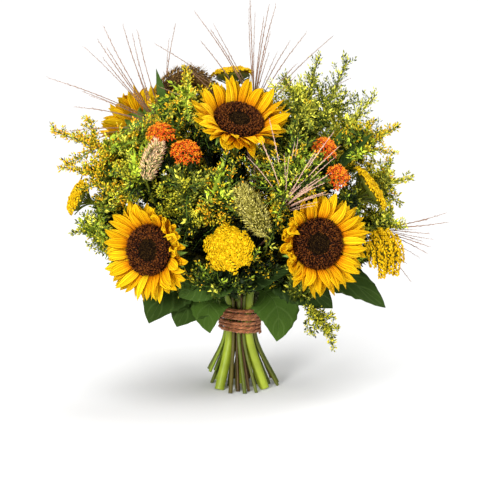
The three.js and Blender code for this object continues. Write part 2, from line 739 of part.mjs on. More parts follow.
function collarPoints(at, aim) {
  return COLLAR_RINGS.flatMap(([radius, level]) => [...Array(COLLAR_COLUMNS).keys()].map((k) => {
    return ringSpot(at, aim, (2 * Math.PI * (k - 0.5)) / COLLAR_COLUMNS, radius, level);
  }));
}

function rayAt(whorl, column, random) {
  const next = COLLAR_RINGS[whorl.ring + 1];
  return {
    angle: (2 * Math.PI * column) / COLLAR_COLUMNS,
    length: RAY_LENGTH * (0.86 + 0.2 * random()) * whorl.scale,
    rise: whorl.rise + RISE_SPREAD * (random() - 0.5),
    levels: [COLLAR_RINGS[whorl.ring][1], next[1]],
  };
}

// The ray florets: two whorls that grow out of alternate faces of the collar.
function sunflowerRays(name, at, aim) {
  const random = seededRandom(name.length * 31 + 7);
  const points = collarPoints(at, aim);
  const faces = [];
  for (let ring = 0; ring < COLLAR_RINGS.length; ring++) {
    const next = (ring + 1) % COLLAR_RINGS.length;
    for (let k = 0; k < COLLAR_COLUMNS; k++) {
      const beside = (k + 1) % COLLAR_COLUMNS;
      const foot = [ring, next].flatMap((row) => [k, beside].map((column) => row * COLLAR_COLUMNS + column));
      const whorl = [LOWER_WHORL, UPPER_WHORL].find((one) => one.ring === ring && one.odd === k % 2);
      const petal = whorl && freePetal(name, at, aim, rayAt(whorl, k, random));
      const first = points.length - 4;
      if (petal) {
        points.push(...petal.slice(4));
        faces.push(...PETAL_SKIN.flat().map((corner) => (corner < 4 ? foot[corner] : first + corner)));
      } else {
        faces.push(foot[0], foot[1], foot[3], foot[0], foot[3], foot[2]);
      }
    }
  }
  place(name, solidOf(geometryOf(points, faces)));
}

// The green cup behind the disc: its rim is drawn out into pointed bracts that bend back.
function sunflowerCalyx(at, aim) {
  const top = DISC_BACK - STEM_GAP;
  const foot = -CALYX_DEPTH - 6;
  const rim = DISC_RADIUS - 3;
  const profile = [
    [0, foot], [SUNFLOWER_STEM[0], foot], [14, -CALYX_DEPTH], [rim, -8], [rim, -7], [rim - 5, top], [0, top],
  ];
  return turned(profile, 2 * BRACT_COUNT, at, aim, (spot, column, row) => {
    if (row < 3 || row > 4 || column % 2) return;
    spot.x *= BRACT_REACH;
    spot.z *= BRACT_REACH;
    spot.y -= BRACT_DROP;
  });
}

// A leaf and its flat stalk in one blade: heart-shaped and toothed, or narrow and plain. It takes the
// first attitude, as millimetres sideways and forward at its tip, in which it is clear of other nodes.
const BROAD_LEAF = [0.07, 0.06, 0.8, 1, 0.78, 0.84, 0.5, 0.42];
const NARROW_LEAF = [0.18, 0.75, 1, 0.72];
const LEAF_CUP = 0.18;
const LEAF_ATTITUDES = [
  [0, 0], [0, 8], [8, 0], [-8, 0], [0, 16], [14, 8], [-14, 8], [0, -8], [22, 12], [-22, 12],
];
function growLeaf(stem, leaf) {
  const shape = leaf.width < BROAD_LEAF_WIDTH ? NARROW_LEAF : BROAD_LEAF;
  const foot = onStem(stem, leaf.on);
  const tip = vector(leaf.tip);
  const face = vector(leaf.face).normalize();
  const across = tip.clone().sub(foot).cross(face).normalize();
  growFirstFree(stem.name, LEAF_ATTITUDES, ([sideways, forward], grow) => {
    const end = tip.clone().addScaledVector(across, sideways).addScaledVector(face, forward);
    const lift = UP.clone().multiplyScalar(leaf.arch).addScaledVector(face, leaf.arch * 0.6 + forward * 0.5);
    const middle = foot.clone().lerp(end, 0.45).add(lift);
    const curve = new THREE.QuadraticBezierCurve3(foot, middle, end);
    const widths = shape.map((share) => (share * leaf.width) / 2 + grow);
    return curvedBlade(curve, face, widths, LEAF_CUP, LEAF_THICKNESS + 2 * grow);
  });
}

// Yarrow: a domed umbel whose surface is raised into florets over a slightly waved outline.
function yarrowHead(radius, at, aim) {
  const outline = [
    [radius * 0.55, UMBEL_BACK], [radius * 0.97, 1], [radius, 4], [radius * 0.84, UMBEL_DEPTH * 0.62],
    [radius * 0.66, UMBEL_DEPTH * 0.82], [radius * 0.46, UMBEL_DEPTH * 0.94], [radius * 0.24, UMBEL_DEPTH],
  ];
  const profile = [[0, UMBEL_BACK], ...outline, [0, UMBEL_DEPTH]];
  const wave = (column) => 1 + 0.05 * Math.sin(column * 2.1) + 0.04 * Math.sin(column * 1.3 + 1);
  return turned(profile, 14, at, aim, (spot, column, row) => {
    spot.x *= wave(column);
    spot.z *= wave(column);
    if (row > 2 && row < 8 && (column + row) % 2) spot.y += UMBEL_RELIEF;
  });
}

// The branches under a yarrow head: a funnel whose flutes reach out to the florets.
function yarrowBranches(radius, at, aim) {
  const top = UMBEL_BACK - STEM_GAP;
  const bottom = top - radius * 0.85;
  const outer = [radius * 0.62, top - 1.5];
  const profile = [[0, bottom], [YARROW_STEM[1] + 0.2, bottom], outer, [radius * 0.55, top], [0, top]];
  return turned(profile, 12, at, aim, (spot, column, row) => {
    if (row < 2 || row > 3 || column % 2) return;
    spot.x *= 0.22;
    spot.z *= 0.22;
  });
}

// Milkweed: a rounded umbel raised into small crowned flowers.
function milkweedHead(radius, at, aim) {
  const rows = 6;
  const bulge = [...Array(rows - 1).keys()].map((k) => {
    const angle = (Math.PI * (k + 1)) / rows;
    return [radius * Math.sin(angle), -radius * MILKWEED_FLATNESS * Math.cos(angle)];
  });
  const pole = radius * MILKWEED_FLATNESS;
  return turned([[0, -pole], ...bulge, [0, pole]], 12, at, aim, (spot, column, row) => {
    if (row > 0 && row < rows && (column + row) % 2) spot.multiplyScalar(MILKWEED_RELIEF);
  });
}

// A flowering stem: short whorls of side branches, longer towards the foot, and florets at its tip.
// Every side branch is a chain of florets that swells towards its end.
const SPRAY_SIDES = 4;
const WHORL_LENGTH = 3;
const WHORLS = 3;
const FLORET_TIP = 0.24;
const BRANCH_TURNS = [0, 0.4, -0.4, 0.8, -0.8, 1.2, -1.2];
const SPRAY_ATTITUDES = BRANCH_TURNS.flatMap((turn) => [[turn, 1], [turn, 0.75], [turn, 0.5]]);

function whorlShare(spray, length, k) {
  return 1 - (spray.length / length) * (1 - (k * (1 - FLORET_TIP)) / WHORLS);
}

// The skin of the stem with a short ring pair at each whorl and the florets of its tip.
function spraySkin(stem, spray, radius) {
  const shares = stem.shares.slice(1, -WHORLS - 1);
  const radii = shares.map(() => stem.radius);
  for (let k = 0; k < WHORLS; k++) {
    const share = whorlShare(spray, stem.length, k);
    shares.push(share, share + WHORL_LENGTH / stem.length);
    radii.push(...WHORL_RADII);
  }
  const tip = (spray.length * FLORET_TIP) / stem.length;
  shares.push(1 - tip * 0.7, 1 - tip * 0.4, 1);
  radii.push(radius, radius * 0.6, 0.3);
  return stemSkin(stem, shares, radii, SPRAY_SIDES);
}

// The line of a side branch that leaves a face of the stem, turned about the stem and drawn in.
function sideBranch(corners, way, reach, [turn, shrink]) {
  const start = corners[0].clone().add(corners[2]).multiplyScalar(0.5);
  const out = corners[1].clone().sub(corners[0]).cross(way).normalize().applyAxisAngle(way, turn);
  const middle = start.clone().addScaledVector(out, reach * 0.6 * shrink).addScaledVector(way, reach * 0.25);
  const end = start.clone().addScaledVector(out, reach * shrink).addScaledVector(way, reach * 0.8);
  end.z -= reach * 0.12;
  return new THREE.QuadraticBezierCurve3(start, middle, end);
}

function growSpray(stem, spray, random) {
  const radius = spray.bud ? BUD_PLUME_RADIUS : PLUME_RADIUS;
  const skin = spraySkin(stem, spray, radius);
  const own = [skin.solid()];
  const firstRing = BUNDLE_LEVELS.length + stem.shares.length - WHORLS - 2;
  for (let k = 0; k < WHORLS; k++) {
    const reach = spray.reach * (1.15 - (0.5 * k) / WHORLS) * (0.9 + 0.2 * random());
    const way = wayAlong(stem, whorlShare(spray, stem.length, k));
    for (let side = 0; side < SPRAY_SIDES; side++) {
      if ((side + k) % SPRAY_SIDES === 0) continue;
      const face = (firstRing + 2 * k) * SPRAY_SIDES + side;
      const curveOf = (attitude, corners) => sideBranch(corners, way, reach, attitude);
      branchFirstFree(stem.name, skin, face, SPRAY_ATTITUDES, curveOf, [radius * 0.75, radius], own);
    }
  }
  place(stem.name, skin.solid());
}

// A bristly spike along its bent axis, its surface raised in alternate bristle tufts.
const TUFT_HOLLOW = 0.78;
function spikeSolid(spike) {
  const curve = new THREE.CatmullRomCurve3(spike.axis.map(vector), false, "centripetal");
  const centres = curve.getSpacedPoints(spike.rings);
  const skin = tubeSkin(centres, (ring, side) => {
    const body = Math.sin(Math.PI * (0.06 + (0.88 * ring) / spike.rings)) ** 0.6;
    return spike.radius * body * ((ring + side) % 2 ? 1 : TUFT_HOLLOW);
  }, spike.sides);
  return skin.solid();
}

// A plume grass: whips leave the faces of the culm near its top and fan out, each with a slight bow.
const CULM_SIDES = 5;
const CULM_JOINTS = [30, 18, 7, 0];
const WHIP_ATTITUDES = [...BRANCH_TURNS, 1.6, -1.6].flatMap((turn) => [[turn, 1], [turn, 0.8], [turn, 0.6]]);

function whipLine(corners, aim, tilt, length, [turn, squeeze]) {
  const foot = corners[0].clone().add(corners[1]).add(corners[2]).divideScalar(3);
  const out = corners[1].clone().sub(corners[0]).cross(corners[2].clone().sub(corners[0]));
  out.addScaledVector(aim, -out.dot(aim)).normalize().applyAxisAngle(aim, turn);
  const angle = tilt * squeeze;
  const way = aim.clone().multiplyScalar(Math.cos(angle)).addScaledVector(out, Math.sin(angle));
  const middle = foot.clone().addScaledVector(way, length * 0.5).addScaledVector(aim, length * 0.06);
  const end = foot.clone().addScaledVector(way, length).addScaledVector(out, length * 0.04);
  return new THREE.QuadraticBezierCurve3(foot, middle, end);
}

function growWhips(stem, grass, random) {
  const aim = vector(grass.aim).normalize();
  const joints = CULM_JOINTS.map((before) => 1 - before / stem.length);
  const shares = [...stem.shares.slice(1, -2), ...joints];
  const first = BUNDLE_LEVELS.length + shares.length - joints.length;
  const skin = stemSkin(stem, shares, shares.map((share) => taper(stem, share)), CULM_SIDES, first);
  const own = [skin.solid()];
  const count = 2 * CULM_SIDES * (joints.length - 1);
  for (let k = 0; k < grass.whips; k++) {
    const face = CULM_SIDES * first + Math.floor(((k + 0.5) * count) / grass.whips);
    const tilt = grass.fan * Math.sqrt(1 - k / grass.whips) * (0.85 + 0.25 * random());
    const length = grass.length * (0.8 + 0.3 * random());
    const curveOf = (attitude, corners) => whipLine(corners, aim, tilt, length, attitude);
    branchFirstFree(stem.name, skin, face, WHIP_ATTITUDES, curveOf, [WHIP_RADIUS * 1.1, WHIP_RADIUS], own);
  }
  place(stem.name, skin.solid());
}

// The twine: turns wound round the waist of the bundle, lying slightly aslant.
function twineWrap() {
  const half = TIE_WIDTH / 2;
  const pitch = TIE_WIDTH / TWINE_TURNS;
  const hold = (TIE_RADIUS + STEM_GAP) / Math.cos(Math.PI / TWINE_SEGMENTS);
  const valley = hold + TWINE_THICKNESS * 0.4;
  const profile = [[hold, -half]];
  for (let turn = 0; turn < TWINE_TURNS; turn++) {
    const low = -half + turn * pitch;
    profile.push([valley, low], [hold + TWINE_THICKNESS, low + pitch / 2]);
  }
  profile.push([valley, half], [hold, half], [hold, -half]);
  return turned(profile, TWINE_SEGMENTS, new THREE.Vector3(0, 0, TIE_HEIGHT), UP, (spot) => {
    spot.y -= TIE_TILT * spot.x;
  });
}

// Every stem: its radii, the foot of its head, the way it grows there, its place in the tie and the
// shares of its line that hold its corners. Those on the far left are cut short.
const SHORT_CUT_SIDE = -140;
const SHORT_CUT = 18;
const RIM_TILT = 1.1;
const LEAST_RISE = 20;
const evenShares = () => [0, 0.22, 0.46, 0.72, 1];

function describeStem(name, [radius, endRadius], foot, enter, from, sharesOf = evenShares) {
  const outward = new THREE.Vector2(from[0], from[1]);
  const height = Math.max(LEAST_RISE, from[2] - TIE_HEIGHT);
  const tilt = Math.atan2(outward.length(), height);
  const slot = outward.normalize().multiplyScalar(TIE_RADIUS * Math.min(1, tilt / RIM_TILT));
  const cut = from[0] < SHORT_CUT_SIDE ? SHORT_CUT : 0;
  return { name, radius, endRadius, foot, enter, slot, cut, sharesOf };
}

// The stem of a head that ends a given depth behind the head's centre.
function headStem(head, radii, depth) {
  const aim = direction(head);
  const foot = vector(head.at).addScaledVector(aim, -depth);
  return describeStem(head.name + "_stem", radii, foot, aim, head.at);
}

function sprayStem(spray) {
  const sharesOf = (length) => {
    const whorls = [...Array(WHORLS).keys()].map((k) => whorlShare(spray, length, k));
    return [0, whorls[0] * 0.36, whorls[0] * 0.7, ...whorls, 1];
  };
  const lean = vector(spray.lean).normalize();
  return describeStem(spray.name, SPRAY_STEM, vector(spray.tip), lean, spray.tip, sharesOf);
}

function spikeStem(spike) {
  const [foot] = spike.axis;
  const radii = [spike.stem, spike.stem * 0.8];
  return describeStem(spike.name, radii, vector(foot), vector(spike.enter).normalize(), foot);
}

function grassStem(grass) {
  const sharesOf = (length) => [0, 0.3, 0.62, 1 - CULM_JOINTS[0] / length, 1];
  return describeStem(grass.name, GRASS_STEM, vector(grass.at), direction(grass), grass.at, sharesOf);
}

function describeStems() {
  return [
    ...SUNFLOWERS.map((one) => headStem(one, SUNFLOWER_STEM, CALYX_DEPTH)),
    ...YARROWS.map((one) => headStem(one, YARROW_STEM, one.radius * 0.8 - UMBEL_BACK)),
    ...MILKWEEDS.map((one) => headStem(one, MILKWEED_STEM, one.radius * MILKWEED_FLATNESS + STEM_GAP)),
    ...GOLDENRODS.map(sprayStem),
    ...SPIKES.map(spikeStem),
    ...GRASSES.map(grassStem),
    ...LEAFY_STEMS.map((one) => describeStem(one.name, LEAFY_STEM, vector(one.at), direction(one), one.at)),
  ];
}

// The room of each flat bloom, which other stems pass behind: a disc about its aim with some depth.
function describeBlooms() {
  const room = (bloom, radius, depth) => ({
    name: bloom.name + "_stem", centre: vector(bloom.at), aim: direction(bloom), radius, depth,
  });
  return [
    ...SUNFLOWERS.map((one) => room(one, DISC_RADIUS + RAY_LENGTH + 3, 21)),
    ...YARROWS.map((one) => room(one, one.radius + 5, 17)),
    ...MILKWEEDS.map((one) => room(one, one.radius + 4, one.radius + 3)),
  ];
}

function placeSunflower(flower) {
  const [at, aim] = [vector(flower.at), direction(flower)];
  place(flower.name + "_disc", sunflowerDisc(at, aim));
  sunflowerRays(flower.name + "_rays", at, aim);
  join(flower.name + "_stem", sunflowerCalyx(at, aim));
}

function placeYarrow(yarrow) {
  const [at, aim] = [vector(yarrow.at), direction(yarrow)];
  place(yarrow.name + "_head", yarrowHead(yarrow.radius, at, aim));
  join(yarrow.name + "_stem", yarrowBranches(yarrow.radius, at, aim));
}

function placeMilkweed(milkweed, stem) {
  place(milkweed.name + "_umbel", milkweedHead(milkweed.radius, vector(milkweed.at), direction(milkweed)));
  const { second } = milkweed;
  if (!second) return;
  const aim = direction(second);
  place(milkweed.name + "_umbel_2", milkweedHead(second.radius, vector(second.at), aim));
  const end = vector(second.at).addScaledVector(aim, -second.radius * MILKWEED_FLATNESS - STEM_GAP);
  const start = onStem(stem, second.on);
  const middle = start.clone().lerp(end, 0.5).addScaledVector(UP, -3);
  join(stem.name, tubeSkin([start, middle, end], () => SIDE_STEM_RADIUS, 4).solid());
}

// Building, from what is thickest to what is finest, so that the fine pieces grow into free room
const stems = describeStems();
settleInTie(stems);
for (const stem of stems) stem.line = firstLine(stem);
bendClear(stems, describeBlooms());
const stemOf = (owner) => stems.find(({ name }) => name === owner.name || name === owner.name + "_stem");

place("twine_wrap", twineWrap());
const stemSides = [
  [6, SUNFLOWERS],
  [5, [...YARROWS, ...MILKWEEDS]],
  [4, [...GOLDENRODS, ...GRASSES]],
  [5, [...SPIKES, ...LEAFY_STEMS]],
];
for (const [sides, owners] of stemSides) {
  for (const stem of owners.map(stemOf)) place(stem.name, plainStem(stem, sides).solid());
}
SUNFLOWERS.forEach(placeSunflower);
YARROWS.forEach(placeYarrow);
for (const milkweed of MILKWEEDS) placeMilkweed(milkweed, stemOf(milkweed));
for (const spike of SPIKES) join(spike.name, spikeSolid(spike));
for (const owner of [...SUNFLOWERS, ...MILKWEEDS, ...LEAFY_STEMS]) {
  for (const leaf of owner.leaves) growLeaf(stemOf(owner), leaf);
}
const random = seededRandom(2026);
for (const spray of GOLDENRODS) growSpray(stemOf(spray), spray, random);
for (const grass of GRASSES) growWhips(stemOf(grass), grass, random);

// Colour and roughness of each kind of node, found by the words in its name
const FINISHES = [
  ["twine_wrap", 0x93603a, 0.9],
  ["_rays", 0xf6b312, 0.55],
  ["_disc", 0x3b1a10, 0.8],
  ["_head", 0xe9c40c, 0.85],
  ["_umbel", 0xe2701a, 0.6],
  ["goldenrod", 0xb6a824, 0.85],
  ["bud_shoot", 0x93ab3c, 0.8],
  ["foxtail_green", 0xb3aa54, 0.85],
  ["foxtail_brown", 0x5c4424, 0.85],
  ["bud_spike", 0xd9b088, 0.7],
  ["plume_grass", 0xa98f72, 0.75],
  ["leafy", 0x33531d, 0.6],
  ["sunflower", 0x5f7f24, 0.65],
  ["_stem", 0x7f9a35, 0.6],
];

function meshOf(name, solid) {
  const { vertProperties, triVerts, numProp } = largestBody(solid).getMesh();
  const geometry = new THREE.BufferGeometry();
  const stride = new THREE.InterleavedBuffer(vertProperties, numProp);
  geometry.setAttribute("position", new THREE.InterleavedBufferAttribute(stride, 3, 0));
  geometry.setIndex(new THREE.BufferAttribute(triVerts, 1));
  geometry.computeVertexNormals();
  const [, color, roughness] = FINISHES.find(([word]) => name.includes(word));
  const mesh = new THREE.Mesh(geometry, new THREE.MeshStandardMaterial({ color, roughness, metalness: 0 }));
  mesh.name = name;
  return mesh;
}

// The group holds one named mesh for each node, with the box's bottom centre at the origin
const bunch = new THREE.Group();
for (const [name, { solid }] of placed) bunch.add(meshOf(name, solid));
const box = new THREE.Box3().setFromObject(bunch);
const middle = box.getCenter(new THREE.Vector3());
bunch.position.set(-middle.x, -middle.y, -box.min.z);

export default bunch;
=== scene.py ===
"""Looks of a hand-tied bunch of sunflowers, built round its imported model.

The plan of the bunch (stems, heads, leaves) is in millimetres about the axis of the tie. Meshes are in
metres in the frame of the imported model: +Z up, the fullest side facing -Y, the cut stems on z = 0.
"""

import json
import logging
import math
from collections.abc import Callable, Iterable, Sequence
from dataclasses import dataclass, field
from enum import Enum

import bmesh
import bpy
import numpy as np
from mathutils import Matrix, Vector

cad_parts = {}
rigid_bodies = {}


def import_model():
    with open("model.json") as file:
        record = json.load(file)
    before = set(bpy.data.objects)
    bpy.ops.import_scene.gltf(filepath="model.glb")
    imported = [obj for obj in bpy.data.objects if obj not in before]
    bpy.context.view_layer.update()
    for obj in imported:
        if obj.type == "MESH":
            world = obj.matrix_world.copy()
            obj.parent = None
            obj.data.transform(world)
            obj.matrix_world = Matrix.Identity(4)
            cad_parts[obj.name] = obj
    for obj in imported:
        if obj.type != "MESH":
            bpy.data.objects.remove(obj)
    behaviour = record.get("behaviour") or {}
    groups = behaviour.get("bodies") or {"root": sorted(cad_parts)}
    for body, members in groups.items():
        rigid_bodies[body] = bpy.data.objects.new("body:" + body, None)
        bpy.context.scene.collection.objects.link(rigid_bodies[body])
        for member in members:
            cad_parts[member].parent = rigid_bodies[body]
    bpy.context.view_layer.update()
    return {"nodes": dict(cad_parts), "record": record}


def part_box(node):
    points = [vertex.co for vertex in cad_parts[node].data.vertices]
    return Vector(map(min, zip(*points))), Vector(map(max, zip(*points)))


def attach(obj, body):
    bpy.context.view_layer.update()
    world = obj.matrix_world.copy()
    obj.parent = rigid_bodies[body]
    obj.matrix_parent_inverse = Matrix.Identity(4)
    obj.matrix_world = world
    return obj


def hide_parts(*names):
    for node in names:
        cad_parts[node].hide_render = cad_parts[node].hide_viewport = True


LOG = logging.getLogger("bunch")
MM = 0.001
GOLDEN = math.pi * (3 - math.sqrt(5))
Point = tuple[float, float, float]
Array = np.ndarray

# Plan of the bunch, in millimetres

TIE_HEIGHT, TIE_RADIUS, TIE_WIDTH, TIE_TILT = 82.0, 21.4, 36.0, 0.12
FOOT_RADIUS, FOOT_TWIST, CROWN_SPREAD, WAIST = 52.0, 0.26, 0.014, 22.0
BUNDLE_TOP = TIE_HEIGHT + 36.0
SHORT_CUT, SHORT_BEYOND = 18.0, -140.0  # the stems of the heads furthest left are cut shorter
STEM_GAP, BEND_GAP = 0.3, 1.6
DISC_RADIUS, RAY_COUNT, RAY_LENGTH, CALYX_DEPTH = 29.0, 13, 29.0, 14.0
COLLAR_RADIUS = DISC_RADIUS + 3.0
MILKWEED_FLATNESS = 0.72
WHORLS, FLORET_TIP = 3, 0.24
CULM_TOP = 30.0
HEAD_STEM_SHARES = (0, 0.22, 0.46, 0.72, 1)

# Radii of the stems at the tie and at their heads.
SUNFLOWER_STEM, YARROW_STEM, MILKWEED_STEM = (6.2, 4.96), (2.5, 1.8), (2.4, 1.6)
SPRAY_STEM, GRASS_STEM, LEAFY_STEM = (2.2, 0.8), (1.9, 1.3), (2.5, 1.2)
SPIKE_TAPER = 0.8


@dataclass(frozen=True)
class LeafPlan:
    """A leaf: where it leaves its stem, its tip, width and arch, the way its face looks and its sway."""

    on: float
    tip: Point
    width: float
    arch: float
    face: Point
    sway: float = 0.0


@dataclass(frozen=True)
class HeadPlan:
    """A flower head on its stem: centre, the way it looks, radius and the leaves on the stem."""

    name: str
    at: Point
    aim: Point
    radius: float = 0.0
    leaves: tuple[LeafPlan, ...] = ()
    second: tuple[float, Point, Point, float] | None = None


@dataclass(frozen=True)
class SprayPlan:
    """A flowering shoot: its tip, the way it grows there, the length that flowers and its reach.

    ``gold`` is the share of open florets, the rest being green buds, and ``warm`` leans the open
    ones towards orange.
    """

    name: str
    tip: Point
    lean: Point
    length: float
    reach: float
    gold: float = 0.75
    warm: float = 0.3


@dataclass(frozen=True)
class SpikePlan:
    """A seed head along its own bent axis, the way its stem enters it and its radii."""

    name: str
    axis: tuple[Point, ...]
    radius: float
    stem: float
    enter: Point


@dataclass(frozen=True)
class GrassPlan:
    """A plume grass: the top of its culm, the way it points and the tint of its whips."""

    name: str
    at: Point
    aim: Point
    pale: float


SUNFLOWERS = (
    HeadPlan("sunflower_left", (-102, -88, 182), (-0.46, -0.88, 0.13), leaves=(
        LeafPlan(142, (-106, -72, 92), 58, 12, (-0.3, -0.9, 0.3), 24),
        LeafPlan(126, (-74, -64, 86), 56, 12, (-0.1, -0.95, 0.3), 12),
    )),
    HeadPlan("sunflower_top", (-2, -40, 323), (0.2, -0.55, 0.81), leaves=(
        LeafPlan(236, (34, -92, 250), 22, 8, (0.1, -0.6, 0.8)),
        LeafPlan(262, (-44, -66, 262), 20, 6, (-0.2, -0.6, 0.8)),
    )),
    HeadPlan("sunflower_right", (88, -92, 190), (0.22, -0.96, 0.15), leaves=(
        LeafPlan(120, (50, -62, 72), 52, 14, (0.1, -0.95, 0.3), -30),
        LeafPlan(146, (106, -66, 108), 46, 10, (0.2, -0.9, 0.3)),
        LeafPlan(160, (172, -42, 104), 50, 22, (0.5, -0.7, 0.5)),
    )),
    HeadPlan("sunflower_back", (-112, 52, 304), (-0.35, 0.85, 0.35), leaves=(
        LeafPlan(118, (-38, 66, 84), 54, 14, (-0.1, 0.95, 0.3)),
        LeafPlan(140, (-112, 50, 112), 46, 16, (-0.5, 0.8, 0.3)),
    )),
)
YARROWS = (
    HeadPlan("yarrow_front", (-12, -98, 186), (-0.12, -0.97, 0.1), 30),
    HeadPlan("yarrow_top", (-9, 46, 370), (-0.05, 0.2, 0.98), 27),
    HeadPlan("yarrow_left", (-188, -25, 233), (-0.88, -0.15, 0.42), 25),
    HeadPlan("yarrow_right_high", (150, -32, 243), (0.82, 0.02, 0.56), 31),
    HeadPlan("yarrow_right_low", (168, -44, 172), (0.55, -0.72, 0.35), 28),
)
MILKWEEDS = (
    HeadPlan("milkweed_left", (-92, -48, 311), (-0.3, -0.5, 0.8), 19, (
        LeafPlan(272, (-98, -14, 384), 15, 8, (-0.2, -0.9, 0.2)),
        LeafPlan(250, (-128, -58, 292), 11, 5, (-0.2, -0.6, 0.7)),
    )),
    HeadPlan("milkweed_centre", (-61, -74, 293), (0.1, -0.65, 0.75), 19, (
        LeafPlan(246, (-92, -98, 258), 10, 5, (-0.2, -0.6, 0.7)),
        LeafPlan(232, (-38, -96, 262), 10, 5, (0.2, -0.6, 0.7)),
    )),
    HeadPlan("milkweed_right", (98, -52, 296), (0.2, -0.6, 0.75), 15, (
        LeafPlan(244, (72, -86, 282), 9, 4, (0, -0.7, 0.7)),
    ), (240, (112, -76, 266), (0.3, -0.8, 0.5), 14)),
)
GOLDENRODS = (
    SprayPlan("goldenrod_far_left", (-220, -20, 312), (-0.94, 0, 0.3), 110, 34, 0.62, 0.7),
    SprayPlan("goldenrod_left", (-206, -44, 272), (-0.95, -0.15, 0.2), 100, 32, 0.75, 0.6),
    SprayPlan("goldenrod_left_low", (-196, -30, 192), (-0.9, -0.2, -0.2), 70, 24, 0.3, 0.3),
    SprayPlan("goldenrod_mid_left", (-136, -92, 274), (-0.5, -0.65, 0.5), 90, 34, 0.4, 0.7),
    SprayPlan("goldenrod_inner_left", (-64, -104, 262), (-0.2, -0.8, 0.5), 70, 28, 0.25, 0.6),
    SprayPlan("goldenrod_centre", (-27, -112, 244), (0, -0.85, 0.5), 60, 26, 0.8, 0.8),
    SprayPlan("goldenrod_top_left", (-64, -14, 384), (-0.2, -0.1, 0.97), 84, 26, 0.7, 0.4),
    SprayPlan("goldenrod_centre_right", (60, -96, 264), (0.2, -0.75, 0.6), 70, 28, 0.8, 0.35),
    SprayPlan("goldenrod_right_high", (186, -10, 316), (0.85, 0, 0.5), 84, 28, 0.6, 0.3),
    SprayPlan("goldenrod_right", (206, 4, 252), (0.97, 0, 0.1), 84, 32, 0.25, 0.75),
    SprayPlan("goldenrod_right_low", (196, -12, 196), (0.95, 0, -0.15), 66, 24, 0.3, 0.75),
    SprayPlan("goldenrod_hanging", (108, -100, 70), (0.25, -0.2, -0.95), 56, 16, 0.2, 0.3),
    SprayPlan("goldenrod_back_left", (-70, 112, 322), (-0.3, 0.6, 0.7), 92, 34, 0.7, 0.4),
    SprayPlan("goldenrod_back", (34, 124, 300), (0.1, 0.75, 0.6), 92, 34, 0.7, 0.4),
    SprayPlan("goldenrod_back_right", (128, 100, 272), (0.5, 0.65, 0.5), 92, 34, 0.7, 0.3),
    SprayPlan("bud_shoot_top", (92, -4, 396), (0.2, 0, 0.97), 120, 38, 0.0),
    SprayPlan("bud_shoot_top_right", (128, 22, 392), (0.3, 0.1, 0.95), 120, 38, 0.0),
    SprayPlan("bud_shoot_right", (160, 8, 350), (0.6, 0, 0.8), 110, 38, 0.0),
)
SPIKES = (
    SpikePlan("foxtail_green", ((30, -88, 200), (17, -98, 224), (-2, -106, 256)), 14, 2.4,
              (-0.3, -0.5, 0.8)),
    SpikePlan("foxtail_brown", ((-92, 8, 334), (-86, 8, 360), (-61, 10, 372), (-38, 16, 358),
                                (-32, 20, 336)), 15, 2.4, (0, 0, 1)),
    SpikePlan("bud_spike_pink", ((-108, -80, 262), (-102, -84, 280), (-92, -84, 304)), 9, 2.2,
              (0.1, -0.5, 0.8)),
)
GRASSES = (
    GrassPlan("plume_grass_left", (-106, 12, 326), (-0.72, -0.05, 0.69), 0.25),
    GrassPlan("plume_grass_top", (17, 14, 352), (-0.04, 0.02, 1), 0.1),
    GrassPlan("plume_grass_right", (172, 4, 190), (0.97, -0.05, -0.12), 0.15),
    GrassPlan("plume_grass_centre", (54, -84, 238), (0.2, -0.35, 0.9), 0.85),
)
LEAFY_STEMS = (
    HeadPlan("leafy_stem_front", (-24, -84, 140), (-0.1, -0.8, 0.5), leaves=(
        LeafPlan(119, (-35, -70, 80), 42, 14, (-0.1, -0.95, 0.3), 26),
        LeafPlan(136, (-24, -96, 128), 30, 5, (0, -0.9, 0.4)),
        LeafPlan(124, (58, -90, 160), 34, 6, (0.2, -0.8, 0.6)),
        LeafPlan(138, (-70, -92, 128), 34, 8, (-0.2, -0.9, 0.4)),
    )),
    HeadPlan("leafy_stem_right", (112, -30, 262), (0.5, -0.3, 0.8), leaves=(
        LeafPlan(222, (120, -46, 318), 15, 5, (-0.3, -0.9, 0.1)),
        LeafPlan(246, (156, -26, 310), 15, 6, (0.1, -0.5, 0.8)),
        LeafPlan(200, (134, -76, 226), 16, 6, (0.2, -0.6, 0.7)),
    )),
    HeadPlan("leafy_stem_back", (62, 92, 236), (0.35, 0.7, 0.6), leaves=(
        LeafPlan(122, (44, 72, 82), 54, 14, (0.2, 0.95, 0.3)),
        LeafPlan(150, (122, 62, 116), 46, 16, (0.5, 0.8, 0.4)),
        LeafPlan(190, (104, 108, 196), 34, 10, (0.3, 0.6, 0.7)),
        LeafPlan(215, (18, 124, 232), 30, 10, (-0.1, 0.7, 0.7)),
    )),
)
LEAF_ATTITUDES = ((0, 0), (0, 8), (8, 0), (-8, 0), (0, 16), (14, 8), (-14, 8), (0, -8), (22, 12), (-22, 12))
RAY_LIFTS = (0, 5, -4, 10, -8, 16)


# Vectors, curves and random numbers

def unit(v: Sequence[float] | Array) -> Array:
    """The direction of a vector."""
    a = np.asarray(v, float)
    return a / max(float(np.linalg.norm(a)), 1e-12)


def unit_rows(v: Array) -> Array:
    """The direction of each row."""
    return v / np.linalg.norm(v, axis=1)[:, None]


def turn_from_up(aim: Sequence[float]) -> Array:
    """The shortest turn that takes +Z to a direction, as a 3 by 3 matrix.

    Args:
        aim: the direction.
    Returns:
        The matrix.
    """
    a = unit(aim)
    cross = np.array([-a[1], a[0], 0.0])
    skew = np.array([[0, -cross[2], cross[1]], [cross[2], 0, -cross[0]], [-cross[1], cross[0], 0]])
    return np.eye(3) + skew + skew @ skew / (1.0 + a[2])


